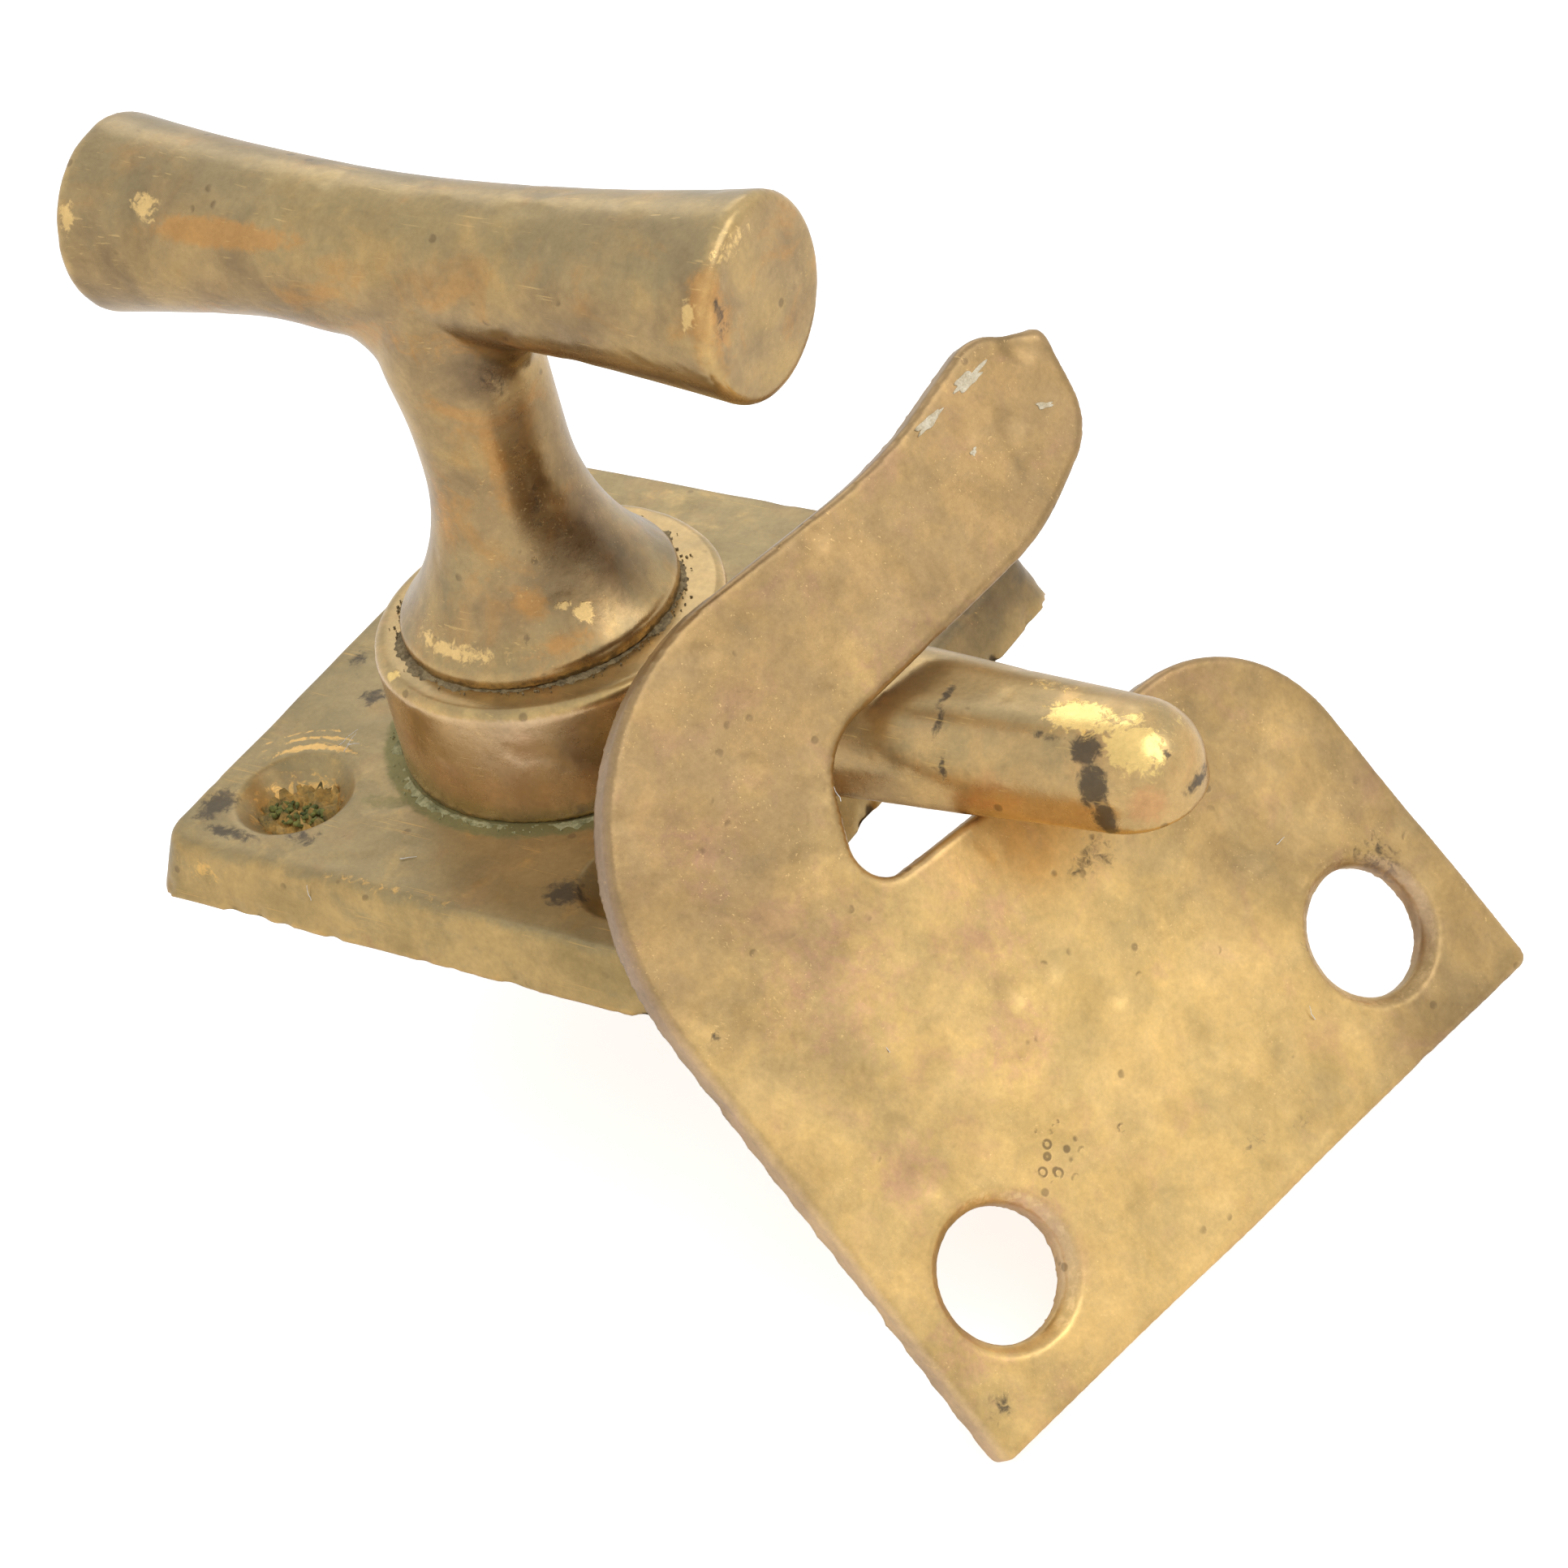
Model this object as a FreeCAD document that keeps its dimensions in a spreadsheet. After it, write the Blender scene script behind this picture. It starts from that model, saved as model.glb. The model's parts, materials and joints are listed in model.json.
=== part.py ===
"""T-handle turn latch with a hook keeper, in cast brass.

A nearly square base plate is screwed to a door. A T-handle stands on it and turns a tongue, which
swings into the slot of a flat hook keeper on the door's frame.

Frame: the origin is the centre of the base plate's screw holes, at the plate's back face. +Z
runs out of the plate, along the spindle, and +X is where the tongue points, give or take the
rest turn. Millimetres throughout.
"""
import FreeCAD, Part
import math
import os
import Sketcher

Vector = FreeCAD.Vector

SIZES = [
    # base plate
    ("plate_width", 48.1, "plate at its back, along X"),
    ("plate_depth", 52.0, "plate at its back, along Y"),
    ("plate_offset", 0.6, "plate's centre from the centre of its screw holes, along Y"),
    ("spindle_along", -2.2, "spindle's axis from the centre of the screw holes, along Y"),
    ("plate_thickness", 4.6, "plate"),
    ("plate_draft", 16.0, "lean of the plate's four sides"),
    ("plate_corner", 3.0, "round of the plate's upright corners"),
    ("plate_edge", 0.9, "round of the plate's upper edge"),
    ("screw_spacing_across", 30.8, "base screw holes, along X"),
    ("screw_spacing_along", 33.2, "base screw holes, along Y"),
    ("screw_hole", 5.2, "diameter of a base screw hole"),
    ("screw_head", 9.2, "rim diameter of its countersink"),
    ("screw_angle", 90.0, "included angle of the countersink"),
    ("recess_diameter", 17.0, "recess in the plate's back"),
    ("recess_depth", 2.9, "recess in the plate's back"),
    # spindle and the pieces on it
    ("journal_diameter", 9.0, "round part of the handle's shank"),
    ("journal_gap", 0.05, "radial running gap of the journal in the plate"),
    ("drive_square", 9.0, "square of the shank that drives the tongue"),
    ("drive_gap", 0.05, "gap on each flat of a square"),
    ("tail_square", 6.2, "square of the shank's tail"),
    ("spring_outside", 14.0, "spring washer"),
    ("spring_inside", 9.4, "spring washer"),
    ("spring_sheet", 0.3, "spring washer, thickness of its sheet"),
    ("spring_rise", 0.7, "spring washer, overall height when pressed"),
    ("washer_diameter", 14.5, "retaining washer"),
    ("washer_thickness", 1.0, "retaining washer"),
    ("tail_screw_head", 9.6, "tail screw, head diameter"),
    ("tail_screw_head_height", 0.9, "tail screw"),
    ("tail_screw_thread", 4.0, "tail screw, thread diameter"),
    ("tail_screw_length", 10.0, "tail screw, under its head"),
    ("tail_slot_width", 1.1, "tail screw, driver slot"),
    ("tail_slot_depth", 0.5, "tail screw, driver slot"),
    # tongue
    ("rest_turn", 2.0, "degrees that handle and tongue are turned at rest"),
    ("hub_diameter", 25.5, "hub of the tongue"),
    ("hub_height", 9.95, "hub of the tongue"),
    ("hub_lift", 0.05, "running gap between plate and hub"),
    ("hub_edge", 0.9, "round of the hub's upper rim"),
    ("tongue_reach", 51.6, "spindle to the tip of the tongue"),
    ("root_radius", 12.3, "round root of the tongue, inside the hub"),
    ("tongue_tip_radius", 5.0, "tip, seen from above"),
    ("tongue_underside", 7.0, "height of the tongue's flat underside"),
    ("tongue_root_top", 13.8, "height of the tongue's crown at the hub"),
    ("tongue_tip_top", 13.65, "height of the tongue's crown at its tip"),
    ("tongue_crown", 4.4, "round of the tongue's crown"),
    ("tongue_foot", 0.8, "round of the tongue's lower edge"),
    ("web_radius", 5.0, "hollow web between hub and tongue"),
    ("web_across", 12.9, "centre of that hollow, along X"),
    ("web_along", 12.3, "centre of that hollow, along Y"),
    # handle
    ("neck_foot_diameter", 20.5, "neck where it stands on the hub"),
    ("neck_foot_height", 1.2, "upright rim of the neck's foot"),
    ("neck_waist_diameter", 10.5, "narrowest part of the neck"),
    ("neck_flare_height", 13.5, "hub to the top of the neck's lower flare"),
    ("bar_height", 43.9, "axis of the T-bar"),
    ("bar_reach_front", 26.1, "spindle to the bar's end over the tongue"),
    ("bar_reach_back", 27.9, "spindle to the bar's other end"),
    ("bar_end_diameter", 14.1, "bar near its ends"),
    ("bar_waist_diameter", 10.6, "bar at its middle"),
    ("bar_end_round", 0.9, "round of the bar's end rims"),
    ("bar_blend", 3.2, "hollow between neck and bar"),
    ("cut_margin", 1.0, "how far a cutting outline runs past the metal"),
    # keeper
    ("keeper_thickness", 2.2, "keeper"),
    ("keeper_edge", 0.5, "round of the keeper's front edge"),
    ("keeper_hole", 9.4, "keeper's screw holes"),
    ("keeper_hole_rim", 11.1, "rim of their shallow countersink"),
    ("keeper_hole_angle", 90.0, "included angle of that countersink"),
    ("keeper_hole_inset", 8.4, "centre of the left hole from the left side"),
    ("keeper_hole_spacing", 38.6, "between the keeper's screw holes"),
    ("keeper_hole_height", 9.45, "hole centre above the lower edge"),
    ("keeper_x", 51.20, "front lower left corner of the keeper at rest"),
    ("keeper_y", -36.52, "front lower left corner of the keeper at rest"),
    ("keeper_z", -20.70, "front lower left corner of the keeper at rest"),
    ("keeper_yaw", 14.45, "degrees its lower edge is turned from +Y towards +X"),
    ("keeper_lean", 37.9, "degrees it leans back from upright"),
    ("keeper_roll", 2.4, "degrees its lower edge rises"),
]

# The keeper's outline is a ring of arcs joined by straight tangents, anticlockwise from the lower
# left corner: name, centre across, centre up, radius, and the way the outline turns there.
LEFT, RIGHT = 1, -1
KEEPER_ARCS = [
    ("left_foot", 0.8, 0.8, 0.8, LEFT),
    ("right_foot", 55.4, 0.8, 0.8, LEFT),
    ("lobe", 44.4, 22.2, 10.9, LEFT),
    ("slot_corner", 20.9, 36.7, 2.6, RIGHT),
    ("throat", 25.6, 37.9, 6.3, RIGHT),
    ("belly", 40.5, 65.2, 20.0, LEFT),
    ("tip", 48.9, 53.4, 5.8, LEFT),
    ("tip_corner", 53.1, 55.5, 2.0, LEFT),
    ("tip_top", 49.5, 55.5, 3.7, LEFT),
    ("saddle", 34.0, 94.6, 38.0, RIGHT),
    ("shoulder", 21.0, 35.6, 21.0, LEFT),
]

KEEPER_FORMULAS = ("{%s_across}", "{%s_up}", "{%s_radius}")

doc = FreeCAD.newDocument("turn_latch")
sheet = doc.addObject("Spreadsheet::Sheet", "Sizes")
value = {}


def store(row, alias, number, note):
    """Put one driving size in the sheet, under its alias."""
    sheet.set("A%d" % row, alias)
    sheet.set("B%d" % row, str(number))
    sheet.set("C%d" % row, note)
    sheet.setAlias("B%d" % row, alias)
    value[alias] = number


def fill_sheet():
    """Store every driving size, then the keeper's arcs."""
    row = 1
    for alias, number, note in SIZES:
        store(row, alias, number, note)
        row += 1
    for name, across, up, radius, _ in KEEPER_ARCS:
        for suffix, number in (("across", across), ("up", up), ("radius", radius)):
            store(row, "%s_%s" % (name, suffix), number, "keeper outline, %s arc" % name)
            row += 1
    doc.recompute()


def bind(target, path, formula):
    """Bind a property, or a named constraint, to the sheet. Aliases are written in braces."""
    target.setExpression(path, formula.replace("{", "Sizes.").replace("}", ""))


def new_body(label):
    body = doc.addObject("PartDesign::Body", label)
    body.Label = label
    return body


def origin_plane(body, role):
    return [item for item in body.Origin.OriginFeatures if item.Role == role][0]


def new_sketch(body, name, role="XY_Plane", height=None):
    """A sketch on one of the body's own planes, lifted along the sketch's normal by a formula."""
    sketch = body.newObject("Sketcher::SketchObject", name)
    sketch.AttachmentSupport = [(origin_plane(body, role), "")]
    sketch.MapMode = "FlatFace"
    if height:
        bind(sketch, "AttachmentOffset.Base.z", height)
    return sketch


def pin_point(sketch, geometry, point, across, up, tag):
    """Fix a point by its distances from the sketch's origin. None leaves it on that axis."""
    here = sketch.getPoint(geometry, point)
    for kind, formula, axis, number in (("DistanceX", across, -2, here.x), ("DistanceY", up, -1, here.y)):
        if formula is None:
            sketch.addConstraint(Sketcher.Constraint("PointOnObject", geometry, point, axis))
        else:
            index = sketch.addConstraint(Sketcher.Constraint(kind, -1, 1, geometry, point, number))
            sketch.renameConstraint(index, "%s_%s" % (tag, kind))
            bind(sketch, "Constraints.%s_%s" % (tag, kind), formula)


def draw_circle(sketch, diameter, across=None, up=None, tag="circle", start=(0, 0)):
    circle = Part.Circle(Vector(start[0], start[1], 0), Vector(0, 0, 1), 1.0)
    index = sketch.addGeometry(circle, False)
    pin_point(sketch, index, 3, across, up, tag)
    size = sketch.addConstraint(Sketcher.Constraint("Diameter", index, 2.0))
    sketch.renameConstraint(size, tag + "_size")
    bind(sketch, "Constraints.%s_size" % tag, diameter)


def draw_polygon(sketch, corners, tag="corner"):
    """A closed polygon. Each corner is (across, up, formula across, formula up)."""
    points = [Vector(corner[0], corner[1], 0) for corner in corners]
    first = sketch.GeometryCount
    count = len(points)
    for index in range(count):
        sketch.addGeometry(Part.LineSegment(points[index], points[(index + 1) % count]), False)
    for index in range(count):
        before = first + (index - 1) % count
        sketch.addConstraint(Sketcher.Constraint("Coincident", before, 2, first + index, 1))
        pin_point(sketch, first + index, 1, corners[index][2], corners[index][3],
                  "%s%d" % (tag, index))


def draw_rectangle(sketch, width, depth, width_formula, depth_formula):
    """A rectangle centred on the sketch's origin."""
    corners = []
    for side, end in ((-1, -1), (1, -1), (1, 1), (-1, 1)):
        corners.append((side * width / 2, end * depth / 2, "%d * (%s) / 2" % (side, width_formula),
                        "%d * (%s) / 2" % (end, depth_formula)))
    draw_polygon(sketch, corners)


def draw_arc_ring(sketch, arcs):
    """A closed outline of arcs and the straight tangents between them, anticlockwise.

    Each arc is (name, centre across, centre up, radius, turn) and then the three formulas that
    hold the same sizes.
    """
    count = len(arcs)
    leave = []
    reach = [None] * count
    for index in range(count):
        after = (index + 1) % count
        _, across, up, radius, turn = arcs[index][:5]
        _, next_across, next_up, next_radius, next_turn = arcs[after][:5]
        gap = Vector(next_across - across, next_up - up, 0)
        swing = math.asin((next_turn * next_radius - turn * radius) / gap.Length)
        heading = math.atan2(gap.y, gap.x) - swing
        normal = Vector(-math.sin(heading), math.cos(heading), 0)
        leave.append(Vector(across, up, 0) - normal * (turn * radius))
        reach[after] = Vector(next_across, next_up, 0) - normal * (next_turn * next_radius)
    for index in range(count):
        _, across, up, radius, turn = arcs[index][:5]
        first, last = (reach[index], leave[index]) if turn == LEFT else (leave[index], reach[index])
        angle_first = math.atan2(first.y - up, first.x - across)
        angle_last = math.atan2(last.y - up, last.x - across)
        if angle_last < angle_first:
            angle_last += 2 * math.pi
        circle = Part.Circle(Vector(across, up, 0), Vector(0, 0, 1), radius)
        sketch.addGeometry(Part.ArcOfCircle(circle, angle_first, angle_last), False)
    for index in range(count):
        tangent = Part.LineSegment(leave[index], reach[(index + 1) % count])
        sketch.addGeometry(tangent, False)
    for index in range(count):
        after = (index + 1) % count
        line = count + index
        leave_point = 2 if arcs[index][4] == LEFT else 1
        reach_point = 1 if arcs[after][4] == LEFT else 2
        sketch.addConstraint(Sketcher.Constraint("Tangent", index, leave_point, line, 1))
        sketch.addConstraint(Sketcher.Constraint("Tangent", line, 2, after, reach_point))
    for index in range(count):
        name, _, _, radius, _, across_formula, up_formula, radius_formula = arcs[index]
        pin_point(sketch, index, 3, across_formula, up_formula, name)
        set_radius(sketch, index, radius, radius_formula, name + "_radius")


def extrude(body, kind, sketch, name, length=None, reverse=False, both_ways=False):
    """A Pad or a Pocket. With no length, a pocket cuts through everything."""
    volume_before = body.Shape.Volume if body.Tip else 0.0
    feature = body.newObject("PartDesign::" + kind, name)
    feature.Profile = sketch
    feature.Reversed = reverse
    if length:
        feature.Type = "Length"
        bind(feature, "Length", length)
    else:
        feature.Type = "ThroughAll"
    if both_ways:
        feature.SideType = "Symmetric"
    doc.recompute()
    change = body.Shape.Volume - volume_before
    if (kind == "Pad") != (change > 0) or abs(change) < 1e-3:
        raise RuntimeError("%s changed the volume by %.4f" % (name, change))
    return feature


def spin(body, sketch, name, axis):
    """A full revolution about one of the sketch's own axes."""
    feature = body.newObject("PartDesign::Revolution", name)
    feature.Profile = sketch
    feature.ReferenceAxis = (sketch, [axis])
    feature.Angle = 360.0
    doc.recompute()
    return feature


def countersink(body, sketch, name, diameter, rim, angle):
    """Countersunk through holes, cut down from the sketch."""
    doc.recompute()
    volume_before = body.Shape.Volume
    feature = body.newObject("PartDesign::Hole", name)
    feature.Profile = sketch
    feature.DepthType = "ThroughAll"
    feature.HoleCutType = "Countersink"
    bind(feature, "Diameter", diameter)
    bind(feature, "HoleCutDiameter", rim)
    bind(feature, "HoleCutCountersinkAngle", angle)
    doc.recompute()
    if body.Shape.Volume > volume_before - 1.0:
        raise RuntimeError("%s cut nothing" % name)
    return feature


def round_edges(body, name, radius, chosen):
    """Fillet the edges of the body's tip that the test picks."""
    base = body.Tip
    names = ["Edge%d" % (index + 1) for index, edge in enumerate(base.Shape.Edges) if chosen(edge)]
    if not names:
        raise RuntimeError("%s found no edge" % name)
    feature = body.newObject("PartDesign::Fillet", name)
    feature.Base = (base, names)
    bind(feature, "Radius", radius)
    doc.recompute()
    return feature


def at_height(edge, height, slack=1e-3):
    """Whether an edge lies flat at one height."""
    box = edge.BoundBox
    return abs(box.ZMin - height) < slack and abs(box.ZMax - height) < slack


def make_base_plate():
    """The cast plate: spindle bore, recess in the back and four countersunk screw holes."""
    body = new_body("base_plate")
    outline = new_sketch(body, "plate_outline")
    draw_rectangle(outline, value["plate_width"], value["plate_depth"], "{plate_width}",
                   "{plate_depth}")
    bind(outline, "AttachmentOffset.Base.y", "{plate_offset}")
    pad = extrude(body, "Pad", outline, "plate", "{plate_thickness}")
    bind(pad, "TaperAngle", "-{plate_draft}")
    doc.recompute()
    top = value["plate_thickness"]
    round_edges(body, "plate_corners", "{plate_corner}", lambda edge: edge.BoundBox.ZLength > top / 2)
    round_edges(body, "plate_top_edge", "{plate_edge}", lambda edge: at_height(edge, top))
    recess = new_sketch(body, "recess_outline")
    spindle = (0, value["spindle_along"])
    draw_circle(recess, "{recess_diameter}", None, "{spindle_along}", start=spindle)
    extrude(body, "Pocket", recess, "recess", "{recess_depth}", reverse=True)
    bore = new_sketch(body, "bore_outline")
    draw_circle(bore, "{journal_diameter} + 2 * {journal_gap}", None, "{spindle_along}",
                start=spindle)
    extrude(body, "Pocket", bore, "bore", reverse=True)
    holes = new_sketch(body, "screw_hole_centres", height="{plate_thickness}")
    for number, (side, end) in enumerate(((-1, -1), (1, -1), (-1, 1), (1, 1))):
        across = side * value["screw_spacing_across"] / 2
        up = end * value["screw_spacing_along"] / 2
        draw_circle(holes, "{screw_hole}", "%d * {screw_spacing_across} / 2" % side,
                    "%d * {screw_spacing_along} / 2" % end,
                    "screw%d" % number, (across, up))
    countersink(body, holes, "screw_holes", "{screw_hole}", "{screw_head}", "{screw_angle}")
    return body


def make_tongue():
    """The D-shaped tongue, and the hub with its square hole that it grows out of."""
    body = new_body("tongue")
    plan = new_sketch(body, "tongue_plan", height="{tongue_underside}")
    draw_tongue_plan(plan)
    extrude(body, "Pad", plan, "tongue_bar", "{tongue_root_top} - {tongue_underside}")
    slope = new_sketch(body, "crown_slope", "XZ_Plane")
    root_top, tip_top = value["tongue_root_top"], value["tongue_tip_top"]
    past, above = value["tongue_reach"] + value["cut_margin"], root_top + value["cut_margin"]
    past_formula = "{tongue_reach} + {cut_margin}"
    above_formula = "{tongue_root_top} + {cut_margin}"
    draw_polygon(slope, [
        (0, root_top, None, "{tongue_root_top}"),
        (past, tip_top, past_formula, "{tongue_tip_top}"),
        (past, above, past_formula, above_formula),
        (0, above, None, above_formula),
    ])
    extrude(body, "Pocket", slope, "crown_fall", "2 * {hub_diameter}", both_ways=True)
    foot = value["tongue_underside"]
    middle = (foot + tip_top) / 2
    round_edges(body, "crown", "{tongue_crown}",
                lambda edge: edge.BoundBox.ZMin > middle and not at_root(edge))
    round_edges(body, "foot", "{tongue_foot}",
                lambda edge: at_height(edge, foot) and not at_root(edge))
    hub = new_sketch(body, "hub_profile", "XZ_Plane")
    draw_hub_profile(hub)
    spin(body, hub, "hub", "V_Axis")
    square = new_sketch(body, "drive_hole", height="{plate_thickness} + {hub_lift}")
    side = value["drive_square"] + 2 * value["drive_gap"]
    formula = "{drive_square} + 2 * {drive_gap}"
    draw_rectangle(square, side, side, formula, formula)
    extrude(body, "Pocket", square, "drive_socket", reverse=True)
    return body


def at_root(edge):
    """Whether an edge belongs to the tongue's round root, inside the hub."""
    return edge.BoundBox.XMin < 0


def draw_hub_profile(sketch):
    """Half the hub: a plain disc whose upper rim is rounded."""
    low = value["plate_thickness"] + value["hub_lift"]
    high = low + value["hub_height"]
    radius, edge = value["hub_diameter"] / 2, value["hub_edge"]
    for first, second in (((0, low), (radius, low)), ((radius, low), (radius, high - edge))):
        sketch.addGeometry(Part.LineSegment(Vector(*first, 0), Vector(*second, 0)), False)
    rim = Part.Circle(Vector(radius - edge, high - edge, 0), Vector(0, 0, 1), edge)
    sketch.addGeometry(Part.ArcOfCircle(rim, 0, math.pi / 2), False)
    for first, second in (((radius - edge, high), (0, high)), ((0, high), (0, low))):
        sketch.addGeometry(Part.LineSegment(Vector(*first, 0), Vector(*second, 0)), False)
    link_chain(sketch, ((0, 2, 1, 1), (3, 2, 4, 1), (4, 2, 0, 1)), ((1, 2, 2, 1), (2, 2, 3, 1)))
    low_formula = "{plate_thickness} + {hub_lift}"
    pin_point(sketch, 0, 1, None, low_formula, "low_middle")
    pin_point(sketch, 0, 2, "{hub_diameter} / 2", low_formula, "low_rim")
    pin_point(sketch, 2, 3, "{hub_diameter} / 2 - {hub_edge}",
              low_formula + " + {hub_height} - {hub_edge}", "rim_centre")
    pin_point(sketch, 4, 1, None, low_formula + " + {hub_height}", "top_middle")
    set_radius(sketch, 2, edge, "{hub_edge}", "rim_radius")


def set_radius(sketch, geometry, number, formula, tag):
    """Hold an arc's radius to a formula."""
    index = sketch.addConstraint(Sketcher.Constraint("Radius", geometry, number))
    sketch.renameConstraint(index, tag)
    bind(sketch, "Constraints." + tag, formula)


def link_chain(sketch, corners, smooth):
    """Join the ends of lines and arcs. Each entry is (geometry, point, geometry, point)."""
    for before, before_point, after, after_point in corners:
        sketch.addConstraint(
            Sketcher.Constraint("Coincident", before, before_point, after, after_point))
    for before, before_point, after, after_point in smooth:
        sketch.addConstraint(
            Sketcher.Constraint("Tangent", before, before_point, after, after_point))


def draw_tongue_plan(sketch):
    """Keyhole outline: round root inside the hub, hollow webs, tapering sides and a round tip."""
    tip = value["tongue_tip_radius"]
    tip_arc = ("tip", value["tongue_reach"] - tip, 0.0, tip, LEFT,
               "{tongue_reach} - {tongue_tip_radius}", None, "{tongue_tip_radius}")
    root_arc = ("root", 0.0, 0.0, value["root_radius"], LEFT, None, None, "{root_radius}")
    webs = []
    for name, side in (("far_web", 1), ("near_web", -1)):
        webs.append((name, value["web_across"], side * value["web_along"], value["web_radius"], RIGHT,
                     "{web_across}", "%d * {web_along}" % side, "{web_radius}"))
    draw_arc_ring(sketch, [tip_arc, webs[0], root_arc, webs[1]])


def make_t_handle():
    """The T-bar, its flared neck, and the shank: square, round journal, square tail."""
    body = new_body("t_handle")
    foot = value["plate_thickness"] + value["hub_lift"] + value["hub_height"]
    neck = new_sketch(body, "neck_profile", "XZ_Plane")
    draw_neck_profile(neck, foot)
    spin(body, neck, "neck", "V_Axis")
    bar = new_sketch(body, "bar_profile", "XZ_Plane")
    bind(bar, "AttachmentOffset.Base.y", "{bar_height}")
    draw_bar_profile(bar)
    spin(body, bar, "bar", "H_Axis")
    round_edges(body, "bar_junction", "{bar_blend}", at_junction)
    foot_formula = "{plate_thickness} + {hub_lift} + {hub_height}"
    journal_top = "{plate_thickness} + {hub_lift}"
    journal_bottom = "({recess_depth} - {spring_rise})"
    square = new_sketch(body, "drive_outline", height=foot_formula)
    side = value["drive_square"]
    draw_rectangle(square, side, side, "{drive_square}", "{drive_square}")
    extrude(body, "Pad", square, "drive", "{hub_height}", reverse=True)
    journal = new_sketch(body, "journal_outline", height=journal_top)
    draw_circle(journal, "{journal_diameter}")
    extrude(body, "Pad", journal, "journal", "%s - %s" % (journal_top, journal_bottom), reverse=True)
    tail = new_sketch(body, "tail_outline", height=journal_bottom)
    side = value["tail_square"]
    draw_rectangle(tail, side, side, "{tail_square}", "{tail_square}")
    extrude(body, "Pad", tail, "tail", "{washer_thickness} - {drive_gap}", reverse=True)
    thread = new_sketch(body, "thread_outline", height=journal_bottom + " - {washer_thickness}")
    draw_circle(thread, "{tail_screw_thread}")
    extrude(body, "Pocket", thread, "threaded_hole", "{tail_screw_length} + {cut_margin}",
            reverse=True)
    return body


def at_junction(edge):
    """Whether an edge lies where the neck runs into the bar."""
    box = edge.BoundBox
    near = value["neck_waist_diameter"]
    bar_underside = value["bar_height"] - value["bar_end_diameter"] / 2
    return box.XMin > -near and box.XMax < near and box.ZMin > bar_underside


def draw_neck_profile(sketch, foot):
    """Half the neck: an upright foot rim, a hollow flare, a straight waist up to the bar."""
    rim = value["neck_foot_diameter"] / 2
    waist = value["neck_waist_diameter"] / 2
    rim_top = foot + value["neck_foot_height"]
    waist_bottom = foot + value["neck_flare_height"]
    top = value["bar_height"]
    across = rim - waist
    rise = waist_bottom - rim_top
    radius = (across ** 2 + rise ** 2) / (2 * across)
    centre = Vector(waist + radius, waist_bottom, 0)
    points = [Vector(0, foot, 0), Vector(rim, foot, 0), Vector(rim, rim_top, 0),
              Vector(waist, waist_bottom, 0), Vector(waist, top, 0), Vector(0, top, 0)]
    start = math.atan2(rim_top - waist_bottom, rim - centre.x)
    circle = Part.Circle(centre, Vector(0, 0, 1), radius)
    flare = Part.ArcOfCircle(circle, math.pi, start + 2 * math.pi)
    for first, second in ((0, 1), (1, 2)):
        sketch.addGeometry(Part.LineSegment(points[first], points[second]), False)
    sketch.addGeometry(flare, False)
    for first, second in ((3, 4), (4, 5), (5, 0)):
        sketch.addGeometry(Part.LineSegment(points[first], points[second]), False)
    for before, before_point, after, after_point in ((0, 2, 1, 1), (1, 2, 2, 2), (3, 2, 4, 1),
                                                     (4, 2, 5, 1), (5, 2, 0, 1)):
        link = Sketcher.Constraint("Coincident", before, before_point, after, after_point)
        sketch.addConstraint(link)
    sketch.addConstraint(Sketcher.Constraint("Tangent", 2, 1, 3, 1))
    foot_formula = "{plate_thickness} + {hub_lift} + {hub_height}"
    rim_formula = "{neck_foot_diameter} / 2"
    waist_formula = "{neck_waist_diameter} / 2"
    pin_point(sketch, 0, 1, None, foot_formula, "middle")
    pin_point(sketch, 1, 1, rim_formula, foot_formula, "rim")
    pin_point(sketch, 1, 2, rim_formula, foot_formula + " + {neck_foot_height}", "rim_top")
    pin_point(sketch, 3, 1, waist_formula, foot_formula + " + {neck_flare_height}", "waist")
    pin_point(sketch, 4, 1, waist_formula, "{bar_height}", "waist_top")
    pin_point(sketch, 4, 2, None, "{bar_height}", "top")


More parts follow.
